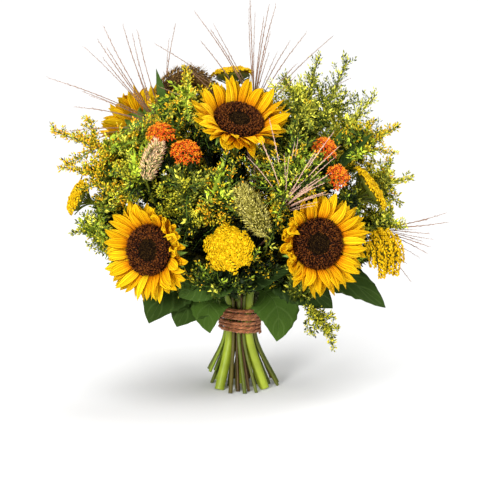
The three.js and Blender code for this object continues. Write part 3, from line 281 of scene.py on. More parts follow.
def turned(v: Array, axis: Array, angle: float) -> Array:
    """A vector turned about an axis."""
    k = unit(axis)
    return v * math.cos(angle) + np.cross(k, v) * math.sin(angle) + k * (k @ v) * (1 - math.cos(angle))


def bezier(corners: Sequence[Array], t: Array | float) -> Array:
    """Points of a quadratic or cubic Bezier curve.

    Args:
        corners: its three or four control points.
        t: one share of the way, or an array of them.
    Returns:
        One point, or an array of points.
    """
    rows = [np.asarray(c, float) for c in corners]
    share = np.asarray(t, float)[..., None]
    while len(rows) > 1:
        rows = [a * (1 - share) + b * share for a, b in zip(rows, rows[1:])]
    return rows[0]


def read_off(at: Array | float, pairs: Sequence[tuple[float, float]]) -> Array:
    """The height of a drawn outline at a place or at several."""
    return np.interp(at, *zip(*pairs))


def seeded(seed: int) -> Callable[[], float]:
    """A repeatable source of random numbers from 0 to 1, the same one that the model was grown with.

    Args:
        seed: a whole number.
    Returns:
        The function that draws the next number.
    """
    state = seed & 0xFFFFFFFF

    def draw() -> float:
        """The next number.

        Returns:
            The number.
        """
        nonlocal state
        state = (state + 0x6D2B79F5) & 0xFFFFFFFF
        t = ((state ^ (state >> 15)) * (1 | state)) & 0xFFFFFFFF
        t = ((t + (((t ^ (t >> 7)) * (61 | t)) & 0xFFFFFFFF)) ^ t) & 0xFFFFFFFF
        return ((t ^ (t >> 14)) & 0xFFFFFFFF) / 4294967296

    return draw


def smooth_line(corners: Sequence[Array], step: float) -> Array:
    """A rounded line through corners, with a point every step or so.

    Args:
        corners: the points that it passes.
        step: the wanted distance between points, in the unit of the corners.
    Returns:
        The points of the line.
    """
    c = np.asarray(corners, float)
    if len(c) < 3:
        count = max(2, int(np.linalg.norm(c[1] - c[0]) / step) + 1)
        return c[0] + (c[1] - c[0]) * np.linspace(0, 1, count)[:, None]
    padded = np.vstack([2 * c[0] - c[1], c, 2 * c[-1] - c[-2]])
    made = [c[0]]
    for p0, p1, p2, p3 in zip(padded, padded[1:], padded[2:], padded[3:]):
        count = max(1, round(float(np.linalg.norm(p2 - p1)) / step))
        lengths = [max(float(np.linalg.norm(b - a)), 1e-6) ** 0.5 for a, b in ((p0, p1), (p1, p2), (p2, p3))]
        m1 = (p2 - p1) + lengths[1] * ((p1 - p0) / lengths[0] - (p2 - p0) / (lengths[0] + lengths[1]))
        m2 = (p2 - p1) + lengths[1] * ((p3 - p2) / lengths[2] - (p3 - p1) / (lengths[1] + lengths[2]))
        for k in range(1, count + 1):
            t = k / count
            made.append(p1 * (1 + 2 * t) * (1 - t) ** 2 + m1 * t * (1 - t) ** 2
                        + p2 * t * t * (3 - 2 * t) - m2 * t * t * (1 - t))
    return np.array(made)


def run_along(line: Array) -> Array:
    """How far along a line each of its points is."""
    return np.concatenate([[0.0], np.cumsum(np.linalg.norm(np.diff(line, axis=0), axis=1))])


def length_of(line: Array) -> float:
    """The length of a line."""
    return float(np.linalg.norm(np.diff(line, axis=0), axis=1).sum())


def arc_shares(line: Array) -> Array:
    """How far along a line each of its points is, from 0 to 1."""
    run = run_along(line)
    return run / max(run[-1], 1e-9)


def gap_to(points: Array, spot: Array) -> float:
    """The distance from a spot to the nearest of some points."""
    return float(np.linalg.norm(points - spot, axis=1).min())


def at_share(line: Array, share: float) -> Array:
    """The point at a share of the length of a line."""
    run = arc_shares(line)
    return np.array([np.interp(share, run, line[:, k]) for k in range(3)])


# Stems of the bundle

@dataclass
class Stem:
    """One stem: from the floor through the tie to the foot of its head.

    ``slot`` is its place in the tie, ``line`` the corners above the bundle and ``shares`` how far
    along the line they are, which ``shares_of`` works out from its length.
    """

    name: str
    radius: float
    end_radius: float
    foot: Array
    enter: Array
    slot: list[float]
    shares_of: Callable[[float], list[float]]
    shares: list[float] = field(default_factory=list)
    line: list[list[float]] = field(default_factory=list)

    def radius_at(self, share: float) -> float:
        """Its radius at a share of the line above the bundle."""
        return self.radius + (self.end_radius - self.radius) * share

    def at_height(self, height: float) -> Array:
        """The point of its line at a height.

        Args:
            height: the height.
        Returns:
            The point.
        """
        k = next((k for k in range(1, len(self.line)) if self.line[k][2] >= height), len(self.line) - 1)
        a, b = np.array(self.line[k - 1]), np.array(self.line[k])
        return a + (b - a) * min(1.0, max(0.0, (height - a[2]) / (b[2] - a[2])))

    def whole(self, step: float = 6.0) -> Array:
        """Its rounded line from the floor to its head, in millimetres.

        Args:
            step: the distance between its points.
        Returns:
            The points of the line.
        """
        cut = SHORT_CUT if self.foot[0] < SHORT_BEYOND else 0.0
        levels = (cut, TIE_HEIGHT - WAIST, TIE_HEIGHT + WAIST)
        return smooth_line([*[bundle_point(self.slot, level) for level in levels],
                            *[np.array(corner) for corner in self.line]], step)

    def lay(self) -> None:
        """Lays its line from the bundle to its head, before it is bent clear."""
        start = bundle_point(self.slot, BUNDLE_TOP)
        leave = unit(start - bundle_point(self.slot, BUNDLE_TOP - 4))
        reach = float(np.linalg.norm(self.foot - start))
        handles = [start, start + leave * reach * 0.35, self.foot - self.enter * reach * 0.32, self.foot]
        t = np.linspace(0, 1, 201)
        fine = bezier(handles, t)
        run = arc_shares(fine)
        self.shares = self.shares_of(length_of(fine))
        self.line = [list(p) for p in bezier(handles, np.interp(self.shares, run, t))]

    def push(self, k: int, share: float, by: Sequence[float]) -> None:
        """Moves the two ends of a segment, but not the ends of the whole line.

        Args:
            k: the number of the segment.
            share: the share of it where the push acts.
            by: the push.
        """
        for at, part in ((k, 1 - share), (k + 1, share)):
            if 0 < at < len(self.line) - 1:
                self.line[at] = [x + d * part for x, d in zip(self.line[at], by)]


def bundle_point(slot: Sequence[float], height: float) -> Array:
    """Where a place in the tie lies at another height of the spiral bundle.

    Args:
        slot: its place in the tie.
        height: the other height.
    Returns:
        The point.
    """
    away = height - TIE_HEIGHT
    if away > 0:
        scale = 1 + CROWN_SPREAD * max(0.0, away - WAIST)
    else:
        scale = 1 + (FOOT_RADIUS / TIE_RADIUS - 1) * max(0.0, -away - WAIST) / (TIE_HEIGHT - WAIST)
    turn = FOOT_TWIST * max(0.0, TIE_HEIGHT - WAIST - height) / TIE_HEIGHT
    c, s = math.cos(turn), math.sin(turn)
    return np.array([scale * (slot[0] * c - slot[1] * s), scale * (slot[0] * s + slot[1] * c), height])


@dataclass
class Bundle:
    """All stems of the bunch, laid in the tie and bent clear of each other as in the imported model."""

    settle_steps: int = 2500
    bend_rounds: int = 160
    part_share: float = 0.6
    pass_share: float = 0.3
    stems: dict[str, Stem] = field(default_factory=dict)

    def build(self) -> "Bundle":
        """Lays every stem.

        Returns:
            The bundle itself.
        """
        self._describe()
        order = list(self.stems.values())
        self._settle(order)
        for stem in order:
            stem.lay()
        rooms = [(p.name + "_stem", p.at, unit(p.aim), radius, depth) for p, radius, depth in flat_rooms()]
        for _ in range(self.bend_rounds):
            for i, stem in enumerate(order):
                for other in order[i + 1:]:
                    self._part(stem, other)
                for name, centre, aim, radius, depth in rooms:
                    if name != stem.name:
                        self._pass_behind(stem, centre, aim, radius, depth)
        return self

    def of(self, owner: str) -> Stem:
        """The stem of a head, or the shoot of that name."""
        return self.stems.get(owner + "_stem") or self.stems[owner]

    def _describe(self) -> None:
        """Describes every stem, in the order in which they are laid."""
        def add(name: str, radii: tuple[float, float], foot: Sequence[float], enter: Sequence[float],
                source: Sequence[float], shares_of: Callable[[float], list[float]]) -> None:
            """Describes one stem, whose place in the tie follows from where it goes.

            Args:
                name: its name.
                radii: its radius at the tie and at its end.
                foot: where it ends.
                enter: the way it grows there.
                source: what it leads to.
                shares_of: the rule for its corners.
            """
            out = math.hypot(source[0], source[1])
            tilt = math.atan2(out, max(20.0, source[2] - TIE_HEIGHT))
            away = TIE_RADIUS * min(1.0, tilt / 1.1) / out
            self.stems[name] = Stem(name, *radii, np.asarray(foot, float), unit(enter),
                                    [source[0] * away, source[1] * away], shares_of)

        def even(_: float) -> list[float]:
            """The corners of a stem of a head, whatever its length."""
            return list(HEAD_STEM_SHARES)

        heads = [(SUNFLOWERS, SUNFLOWER_STEM, 0.0, CALYX_DEPTH), (YARROWS, YARROW_STEM, 0.8, 3.0),
                 (MILKWEEDS, MILKWEED_STEM, MILKWEED_FLATNESS, STEM_GAP)]
        for plans, radii, share, depth in heads:
            for plan in plans:
                aim = unit(plan.aim)
                foot = np.array(plan.at) - aim * (plan.radius * share + depth)
                add(plan.name + "_stem", radii, foot, aim, plan.at, even)
        for spray in GOLDENRODS:
            add(spray.name, SPRAY_STEM, spray.tip, spray.lean, spray.tip, whorled(spray.length))
        for spike in SPIKES:
            radii = (spike.stem, spike.stem * SPIKE_TAPER)
            add(spike.name, radii, spike.axis[0], spike.enter, spike.axis[0], even)
        for grass in GRASSES:
            add(grass.name, GRASS_STEM, grass.at, grass.aim, grass.at,
                lambda length: [0, 0.3, 0.62, 1 - CULM_TOP / length, 1])
        for plan in LEAFY_STEMS:
            add(plan.name, LEAFY_STEM, plan.at, plan.aim, plan.at, even)

    def _settle(self, order: list[Stem]) -> None:
        """Pushes the stems' circles in the tie apart and keeps them within the twine.

        Args:
            order: the stems.
        """
        for _ in range(self.settle_steps):
            for i, a in enumerate(order):
                for b in order[i + 1:]:
                    dx, dy = b.slot[0] - a.slot[0], b.slot[1] - a.slot[1]
                    need = a.radius + b.radius + STEM_GAP
                    if abs(dx) >= need or abs(dy) >= need:
                        continue
                    far = math.hypot(dx, dy)
                    if far < need:
                        share = b.radius ** 2 / (a.radius ** 2 + b.radius ** 2)
                        dx, dy = dx * (need - far) / far, dy * (need - far) / far
                        a.slot = [a.slot[0] - dx * share, a.slot[1] - dy * share]
                        b.slot = [b.slot[0] + dx * (1 - share), b.slot[1] + dy * (1 - share)]
            for stem in order:
                out, most = math.hypot(*stem.slot), TIE_RADIUS - stem.radius
                if out > most:
                    stem.slot = [stem.slot[0] / out * most, stem.slot[1] / out * most]

    def _part(self, a: Stem, b: Stem) -> None:
        """Pushes two stems apart where they come closer than a gap.

        Args:
            a: one stem.
            b: the other.
        """
        most = a.radius + b.radius + BEND_GAP
        if far_off(a.line, b.line, most):
            return
        for k in range(len(a.line) - 1):
            for m in range(len(b.line) - 1):
                p, q, c, d = a.line[k], a.line[k + 1], b.line[m], b.line[m + 1]
                if far_off((p, q), (c, d), most):
                    continue
                s, t = nearest_shares(p, q, c, d)
                apart = [p[x] + (q[x] - p[x]) * s - c[x] - (d[x] - c[x]) * t for x in (0, 1, 2)]
                far = math.hypot(*apart)
                lack = a.radius_at(a.shares[k]) + b.radius_at(b.shares[m]) + BEND_GAP - far
                if lack > 0 and far > 1e-6:
                    a.push(k, s, [x * self.part_share * lack / far for x in apart])
                    b.push(m, t, [-x * self.part_share * lack / far for x in apart])

    def _pass_behind(self, stem: Stem, centre: Point, aim: Array, radius: float, depth: float) -> None:
        """Pushes a stem behind a bloom that it would pass through.

        Args:
            stem: the stem.
            centre: the middle of the bloom's room.
            aim: the way the bloom looks.
            radius: the room's radius.
            depth: how far it reaches before and behind its middle.
        """
        for k in range(len(stem.line) - 1):
            if far_off(stem.line[k:k + 2], (centre,), radius + depth):
                continue
            for share in (0, 0.25, 0.5, 0.75, 1):
                p, q = stem.line[k], stem.line[k + 1]
                away = [p[x] + (q[x] - p[x]) * share - centre[x] for x in (0, 1, 2)]
                deep = away[0] * aim[0] + away[1] * aim[1] + away[2] * aim[2]
                flat = math.hypot(*[away[x] - aim[x] * deep for x in (0, 1, 2)])
                if flat <= radius and abs(deep) <= depth:
                    stem.push(k, share, [-x * self.pass_share * (depth + deep) for x in aim])


def flat_rooms() -> list[tuple[HeadPlan, float, float]]:
    """Each flat bloom with the radius and depth of the room that other stems keep out of.

    Returns:
        The plan, the radius and the depth of each.
    """
    return [
        *[(p, DISC_RADIUS + RAY_LENGTH + 3, 21.0) for p in SUNFLOWERS],
        *[(p, p.radius + 5, 17.0) for p in YARROWS],
        *[(p, p.radius + 4, p.radius + 3) for p in MILKWEEDS],
    ]


def whorled(reach: float) -> Callable[[float], list[float]]:
    """The rule for a spray stem's corners: two below its whorls, which fill its reach, and one at each.

    Args:
        reach: the length of the stem that flowers.
    Returns:
        The rule, which takes the stem's length and gives the corners' shares of it.
    """
    def shares(length: float) -> list[float]:
        """The shares for a stem of this length."""
        whorls = [1 - reach / length * (1 - k * (1 - FLORET_TIP) / WHORLS) for k in range(WHORLS)]
        return [0, whorls[0] * 0.36, whorls[0] * 0.7, *whorls, 1]
    return shares


def far_off(a: Sequence[Sequence[float]], b: Sequence[Sequence[float]], most: float) -> bool:
    """Whether the boxes round two sets of points lie further apart than a distance."""
    return any(min(p[x] for p in a) - max(q[x] for q in b) > most or
               min(q[x] for q in b) - max(p[x] for p in a) > most for x in (0, 1, 2))


def nearest_shares(a: Sequence[float], b: Sequence[float], c: Sequence[float],
                   d: Sequence[float]) -> tuple[float, float]:
    """Where two segments come nearest, as a share of each.

    Args:
        a: the start of the first.
        b: its end.
        c: the start of the second.
        d: its end.
    Returns:
        The two shares.
    """
    u, v, w = ([q[x] - p[x] for x in (0, 1, 2)] for p, q in ((a, b), (c, d), (c, a)))
    aa, cc, ac, ab, cb = (p[0] * q[0] + p[1] * q[1] + p[2] * q[2]
                          for p, q in ((u, u), (v, v), (u, v), (u, w), (v, w)))
    divisor = aa * cc - ac * ac
    s = min(1.0, max(0.0, (ac * cb - ab * cc) / divisor)) if divisor > 1e-9 else 0.5
    t = min(1.0, max(0.0, (ac * s + cb) / cc))
    return min(1.0, max(0.0, (ac * t - ab) / aa)), t


# Meshes of the bunch

VALUES = ("tone", "along", "across", "thick", "reach", "size")


@dataclass
class Sheaf:
    """Points gathered for one mesh, in millimetres of the plan, with their faces, edges and values."""

    points: list[Array] = field(default_factory=list)
    faces: list[tuple[int, ...]] = field(default_factory=list)
    edges: list[tuple[int, int]] = field(default_factory=list)
    values: dict[str, list[Array]] = field(default_factory=lambda: {key: [] for key in VALUES})
    count: int = 0

    def add(self, points: Array, faces: Iterable[Sequence[int]] = (), **values: Array | float) -> "Sheaf":
        """Adds a patch.

        Args:
            points: its points, one row each.
            faces: its faces, as indices into those points.
            values: a number or one number a point for any of VALUES.
        Returns:
            The sheaf itself.
        """
        base = self.count
        self.points.append(np.asarray(points, float))
        self.faces.extend(tuple(i + base for i in face) for face in faces)
        for key in VALUES:
            self.values[key].append(np.broadcast_to(np.asarray(values.get(key, 0.0), float), len(points)))
        self.count += len(points)
        return self

    def add_line(self, points: Array, **values: Array | float) -> None:
        """Adds a line through points, with its values.

        Args:
            points: the points.
            values: each value, for all or for each point.
        """
        base = self.count
        self.add(points, **values)
        self.edges.extend((base + k, base + k + 1) for k in range(len(points) - 1))

    def add_stem(self, line: Array, radii: Sequence[float], tone: Array | float) -> None:
        """Adds a line whose radius changes evenly from its foot to its end."""
        self.add_line(line, thick=np.interp(arc_shares(line), (0, 1), radii), tone=tone)

    def mesh(self, name: str, shift: Array) -> bpy.types.Mesh:
        """The mesh in metres.

        Args:
            name: its name.
            shift: where the axis of the tie stands in the frame, in metres.
        Returns:
            A mesh with the values as point attributes.
        """
        made = bpy.data.meshes.new(name)
        spots = np.vstack(self.points) * MM + shift
        made.from_pydata(spots.tolist(), self.edges, self.faces)
        for key, rows in self.values.items():
            made.attributes.new(key, "FLOAT", "POINT").data.foreach_set(
                "value", np.concatenate(rows).astype(np.float32))
        made.polygons.foreach_set("use_smooth", [True] * len(made.polygons))
        made.update()
        return made


def sheet_faces(rows: int, columns: int) -> list[tuple[int, ...]]:
    """Faces of a closed thin sheet: a front and a back grid of points, joined round their rim.

    Args:
        rows: how many rows a grid has.
        columns: how many points a row has.
    Returns:
        The corners of each face.
    """
    back = rows * columns
    faces = []
    for r in range(rows - 1):
        for c in range(columns - 1):
            a, e = r * columns + c, (r + 1) * columns + c
            faces += [(a, a + 1, e + 1, e), (back + a, back + e, back + e + 1, back + a + 1)]
    rim = list(range(columns))
    rim += [r * columns + columns - 1 for r in range(1, rows)]
    rim += [(rows - 1) * columns + c for c in range(columns - 2, -1, -1)]
    rim += [r * columns for r in range(rows - 2, 0, -1)]
    for a, b in zip(rim, rim[1:] + rim[:1]):
        faces.append((a, back + a, back + b, b))
    return faces


def ring_faces(rings: int, sides: int) -> list[tuple[int, ...]]:
    """Faces of a turned body: a pole, rings of as many points as it has sides, and the other pole.

    Args:
        rings: how many rings there are.
        sides: how many points a ring has.
    Returns:
        The corners of each face.
    """
    faces: list[tuple[int, ...]] = []
    top, last = 1 + (rings - 1) * sides, 1 + rings * sides
    for n in range(sides):
        m = (n + 1) % sides
        faces.append((0, 1 + m, 1 + n))
        for a in range(1, top, sides):
            faces.append((a + n, a + m, a + sides + m, a + sides + n))
        faces.append((top + n, top + m, last))
    return faces


def add_sheet(sheaf: Sheaf, centres: Array, acrosses: Array, normals: Array, halves: Array,
              bulge: Callable[[Array, Array], Array], thickness: float, columns: int,
              **values: float) -> None:
    """Adds a thin closed sheet along a line.

    Args:
        sheaf: the mesh it goes into.
        centres: points of its middle line, with acrosses and normals the directions there.
        halves: its half width at each of them.
        bulge: how far a spot is lifted along the normal, from its shares along and across.
        thickness: its thickness in the middle, which thins to the rim.
        columns: the number of points across.
        values: further values for the whole sheet.
    """
    rows = len(centres)
    side = np.linspace(-1, 1, columns)
    along = np.repeat(np.linspace(0, 1, rows), columns)
    across = np.tile(side, rows)
    row = np.repeat(np.arange(rows), columns)
    lift = bulge(along, across)
    middle = centres[row] + acrosses[row] * (halves[row] * across)[:, None] + normals[row] * lift[:, None]
    half = normals[row] * (thickness * (0.55 - 0.4 * across ** 2) * (1 - 0.6 * along))[:, None]
    sheaf.add(np.vstack([middle + half, middle - half]), sheet_faces(rows, columns),
              along=np.tile(along, 2), across=np.tile(across, 2), **values)


def add_turned(sheaf: Sheaf, outline: Sequence[tuple[float, float]], sides: int, at: Sequence[float],
               aim: Sequence[float], ripple: Callable[[float, float], float] | None = None,
               **values: float) -> None:
    """Adds a turned solid.

    Args:
        sheaf: the mesh it goes into.
        outline: radius and height from the pole below to the pole above, which are on the axis.
        sides: the number of points round it.
        at: its foot in the plan.
        aim: the direction of its axis.
        ripple: a factor on the radius from the angle and the share of the outline.
        values: further values for the whole solid.
    """
    turn = turn_from_up(aim)
    rings = outline[1:-1]
    spots = [(0.0, 0.0, outline[0][1])]
    for k, (radius, height) in enumerate(rings):
        for n in range(sides):
            angle = 2 * math.pi * n / sides
            r = radius * (ripple(angle, k / max(1, len(rings) - 1)) if ripple else 1.0)
            spots.append((r * math.cos(angle), r * math.sin(angle), height))
    spots.append((0.0, 0.0, outline[-1][1]))
    along = [0.0, *[k / max(1, len(rings) - 1) for k in range(len(rings)) for _ in range(sides)], 1.0]
    sheaf.add(np.array(spots) @ turn.T + np.asarray(at, float), ring_faces(len(rings), sides),
              along=np.array(along), **values)


# What is repeated

class Element(Enum):
    """The small shapes that are repeated over the bunch."""

    GRAIN = "small_leaf"
    BLADE = "inner_leaf"
    BUD = "bud"
    BRISTLE = "bristle"
    SPIKELET = "spikelet"
    TUBE = "disc_floret"
    EYE = "disc_bud"
    YARROW = "yarrow_floret"
    MILKWEED = "milkweed_flower"
    FIBRE = "fibre"


def spindle(rings: Sequence[tuple[float, float, float]], sides: int, length: float, width: float,
            depth: float, bow: float = 0.0) -> Sheaf:
    """A closed pointed body along +Z, for leaves, buds, bristles and tubes.

    Args:
        rings: share of the length, share of the width and share of the depth, between its two points.
        sides: the number of points of a ring, the first of them on +Y.
        length: its length in millimetres.
        width: its full width along Y.
        depth: its full depth along X.
        bow: how far its tip bends towards +X.
    Returns:
        A sheaf with the shape.
    """
    spots = [(0.0, 0.0, 0.0)]
    for share, wide, deep in rings:
        for n in range(sides):
            a = 2 * math.pi * n / sides
            spots.append((math.sin(a) * depth / 2 * deep, math.cos(a) * width / 2 * wide, share * length))
    spots.append((0.0, 0.0, length))
    points = np.array(spots)
    points[:, 0] += bow * (points[:, 2] / length) ** 2
    faces = [(first, *rest[::-1]) for first, *rest in ring_faces(len(rings), sides)]
    along = np.array([0.0, *[ring[0] for ring in rings for _ in range(sides)], 1.0])
    return Sheaf().add(points, faces, along=along, across=points[:, 1] / (width / 2))


def star(rays: int, outer: float, inner: float, dish: float, heart: float, back: float) -> Sheaf:
    """An open floret that faces +Z: a closed star with a raised heart.

    Args:
        rays: the number of its rays.
        outer: the radius of the rays' tips in millimetres.
        inner: the radius between them.
        dish: how high the tips stand.
        heart: how high its middle stands.
        back: how deep its foot is.
    Returns:
        A sheaf with the shape.
    """
    ring = []
    for n in range(2 * rays):
        radius, height = (inner, dish * 0.3) if n % 2 else (outer, dish)
        angle = math.pi * n / rays
        ring.append((radius * math.cos(angle), radius * math.sin(angle), height))
    points = np.array([(0, 0, -back), *ring, (0, 0, heart)], float)
    return Sheaf().add(points, ring_faces(1, 2 * rays), along=np.array([0.0, *[1.0, 0.6] * rays, 0.25]))


def milkweed_flower() -> Sheaf:
    """A milkweed flower that faces +Z: five petals bent back under a crown of five hoods.

    Returns:
        The flower, with its tones.
    """
    made = Sheaf()
    petal = spindle(((0.35, 1, 1), (0.75, 0.8, 0.8)), 4, 4.6, 2.4, 0.7, -1.6)
    hood = spindle(((0.4, 1, 1), (0.8, 0.7, 0.8)), 4, 3.0, 1.3, 1.1, 0.5)
    kinds = ((petal, -0.35, -0.2, -0.4, 0.0), (hood, 1.05, 0.0, 0.8, math.pi / 5))
    for k in range(5):
        for shape, tip, lift, tone, turn in kinds:
            angle = 2 * math.pi * k / 5 + turn
            out = np.array([math.cos(angle), math.sin(angle), 0.0])
            way = unit(out * math.cos(tip) + np.array([0, 0, 1.0]) * math.sin(tip))
            side = np.array([-math.sin(angle), math.cos(angle), 0.0])
            basis = np.column_stack([np.cross(side, way), side, way])
            points = shape.points[0] @ basis.T + out * 0.5 + np.array([0, 0, lift])
            made.add(points, shape.faces, along=shape.values["along"][0], tone=tone)
    return made


def folded_leaf(length: float, width: float, fold: float, bow: float) -> Sheaf:
    """A tiny pointed leaf along +Z, folded along its midrib: the closed body with the fewest faces.

    Args:
        length: its length.
        width: its width.
        fold: how far its rims stand up.
        bow: how far its tip bends.
    Returns:
        The leaf.
    """
    points = np.array([(0, 0, 0), (bow, 0, length), (-fold, -width / 2, length * 0.45),
                       (-fold, width / 2, length * 0.45)])
    return Sheaf().add(points, ((0, 3, 1), (0, 1, 2), (0, 2, 3), (1, 3, 2)),
                       along=np.array([0, 1, 0.5, 0.5]), across=np.array([0, 0, -1, 1]))


def element_shapes() -> dict[Element, Sheaf]:
    """The shape of each repeated element, in millimetres, growing along +Z.

    Returns:
        The shapes by element.
    """
    return {
        Element.GRAIN: folded_leaf(6.2, 2.6, 0.6, 0.5),
        Element.BLADE: spindle(((0.3, 1, 1), (0.7, 0.75, 0.8)), 4, 25, 10, 0.6, 5.0),
        Element.BUD: spindle(((0.55, 1, 1),), 3, 4.9, 2.2, 2.2, 0.4),
        Element.BRISTLE: spindle(((0.12, 1, 1),), 3, 9, 0.42, 0.42, 0.9),
        Element.SPIKELET: spindle(((0.3, 1, 1),), 4, 6.5, 1.25, 1.0, 0.6),
        Element.TUBE: spindle(((0.85, 1, 1),), 4, 5.4, 1.9, 1.9, 0.4),
        Element.EYE: spindle(((0.6, 1, 1),), 4, 2.6, 2.2, 2.2, 0.0),
        Element.YARROW: star(5, 1.9, 1.35, 0.1, 0.8, 2.2),
        Element.MILKWEED: milkweed_flower(),
        Element.FIBRE: spindle(((0.5, 1, 1),), 3, 7, 0.3, 0.3, 1.8),
    }


# Growth by geometry nodes

Wire = bpy.types.NodeSocket


def put_in_scene(name: str, data: bpy.types.ID) -> bpy.types.Object:
    """Puts data into the scene as an object.

    Args:
        name: the object's name.
        data: its mesh, light or camera.
    Returns:
        The object.
    """
    made = bpy.data.objects.new(name, data)
    bpy.context.scene.collection.objects.link(made)
    return made


class NodePlan:
    """A node tree that is put together by name."""

    def __init__(self, tree: bpy.types.NodeTree) -> None:
        """Takes the tree."""
        self.tree = tree

    def add(self, kind: str, inputs: dict[str | int, object] | None = None, output: str = "",
            **settings: object) -> Wire:
        """Adds a node.

        Args:
            kind: its type.
            inputs: a value or a socket for each named or numbered input.
            output: the name of the wanted output, or the first one in use.
            settings: the node's own settings.
        Returns:
            The output socket.
        """
        node = self.tree.nodes.new(kind)
        for key, value in settings.items():
            setattr(node, key, value)
        for key, value in (inputs or {}).items():
            if isinstance(key, int):
                socket = node.inputs[key]
            else:
                socket = next(s for s in node.inputs if s.name == key and s.enabled)
            if isinstance(value, bpy.types.NodeSocket):
                self.tree.links.new(value, socket)
            else:
                socket.default_value = value
        return next(s for s in node.outputs if s.enabled and (not output or s.name == output))

    def calc(self, operation: str, a: object, b: object = 0.0, c: object = 0.0) -> Wire:
        """A sum, product or other calculation on numbers."""
        return self.add("ShaderNodeMath", {0: a, 1: b, 2: c}, operation=operation)

    def vector(self, operation: str, a: object, b: object | None = None, scale: object | None = None) -> Wire:
        """A calculation on vectors.

        Args:
            operation: its name.
            a: the first vector.
            b: the second one.
            scale: the factor of a scaling.
        Returns:
            The output socket.
        """
        inputs: dict[str | int, object] = {0: a}
        if b is not None:
            inputs[1] = b
        if scale is not None:
            inputs["Scale"] = scale
        return self.add("ShaderNodeVectorMath", inputs, operation=operation)


class GrowthTree(NodePlan):
    """A Geometry Nodes tree: its named inputs, its nodes, and the run that makes a plain mesh."""

    def __init__(self, name: str, **inputs: Sequence[str]) -> None:
        """Starts a tree.

        Args:
            name: its name.
            inputs: the names of the inputs of each kind, besides the geometry and the material.
        """
        super().__init__(bpy.data.node_groups.new(name, "GeometryNodeTree"))
        for kind, labels in {"Geometry": ["Geometry"], **inputs, "Material": ["Material"]}.items():
            for label in labels:
                self.tree.interface.new_socket(label, in_out="INPUT", socket_type="NodeSocket" + kind)
        self.tree.interface.new_socket("Geometry", in_out="OUTPUT", socket_type="NodeSocketGeometry")
        self.source = self.tree.nodes.new("NodeGroupInput")

    def given(self, label: str) -> Wire:
        """The socket of one of its inputs."""
        return self.source.outputs[label]

    def random(self, low: object, high: object, offset: int, kind: str = "FLOAT") -> Wire:
        """A random number or vector for each point, with a seed set off from the tree's own."""
        seed = self.calc("ADD", self.given("Seed"), float(offset))
        return self.add("FunctionNodeRandomValue", {"Min": low, "Max": high, "Seed": seed}, data_type=kind)

    def loose(self, offset: int) -> Wire:
        """A random vector for each point, as strong as the disorder."""
        any_way = self.random((-1.0, -1.0, -1.0), (1.0, 1.0, 1.0), offset, "FLOAT_VECTOR")
        return self.vector("SCALE", any_way, scale=self.given("Disorder"))

    def random_tone(self) -> Wire:
        """A random change of tone for each point."""
        return self.calc("MULTIPLY", self.random(-1.0, 1.0, 3), self.given("Tone Spread"))

    def value(self, name: str) -> Wire:
        """The value of that name at each point."""
        return self.add("GeometryNodeInputNamedAttribute", {"Name": name}, data_type="FLOAT")

    def store(self, geometry: Wire, name: str, value: object) -> Wire:
        """Keeps a value at each point."""
        given = {"Geometry": geometry, "Name": name, "Value": value}
        return self.add("GeometryNodeStoreNamedAttribute", given, data_type="FLOAT", domain="POINT")

    def set_out(self, points: Wire, way: Wire, side: Wire, size: Wire) -> None:
        """Puts the element on points, makes it real and gives it its finish.

        Args:
            points: where it stands.
            way: the direction in which its +Z grows.
            side: the direction to which its +X turns.
            size: its scale.
        """
        turn = self.add("FunctionNodeAxesToRotation", {"Primary Axis": way, "Secondary Axis": side},
                        primary_axis="Z", secondary_axis="X")
        shape = self.add("GeometryNodeObjectInfo", {"Object": self.given("Element")}, "Geometry")
        placed = self.add("GeometryNodeInstanceOnPoints",
                          {"Points": points, "Instance": shape, "Rotation": turn, "Scale": size})
        self.end(self.add("GeometryNodeRealizeInstances", {"Geometry": placed}))

    def end(self, geometry: Wire) -> None:
        """Ends the tree with the finish.

        Args:
            geometry: what the tree has made.
        """
        dressed = self.add("GeometryNodeSetMaterial",
                           {"Geometry": geometry, "Material": self.given("Material")})
        result = self.tree.nodes.new("NodeGroupOutput")
        self.tree.links.new(dressed, result.inputs["Geometry"])

    def run(self, name: str, source: bpy.types.Mesh, **values: object) -> bpy.types.Mesh:
        """Runs the tree on a mesh.

        Args:
            name: the name of the result.
            source: the mesh that is grown on, used up by the run.
            values: a value for each input, with _ for a space.
        Returns:
            The plain mesh.
        """
        holder = put_in_scene(name, source)
        growth = holder.modifiers.new("growth", "NODES")
        growth.node_group = self.tree
        for item in self.tree.interface.items_tree:
            key = item.name.replace(" ", "_")
            if item.in_out == "INPUT" and key in values:
                growth[item.identifier] = values[key]
        graph = bpy.context.evaluated_depsgraph_get()
        made = bpy.data.meshes.new_from_object(
            holder.evaluated_get(graph), preserve_all_data_layers=True, depsgraph=graph)
        made.name = name
        bpy.data.objects.remove(holder)
        bpy.data.meshes.remove(source)
        return made


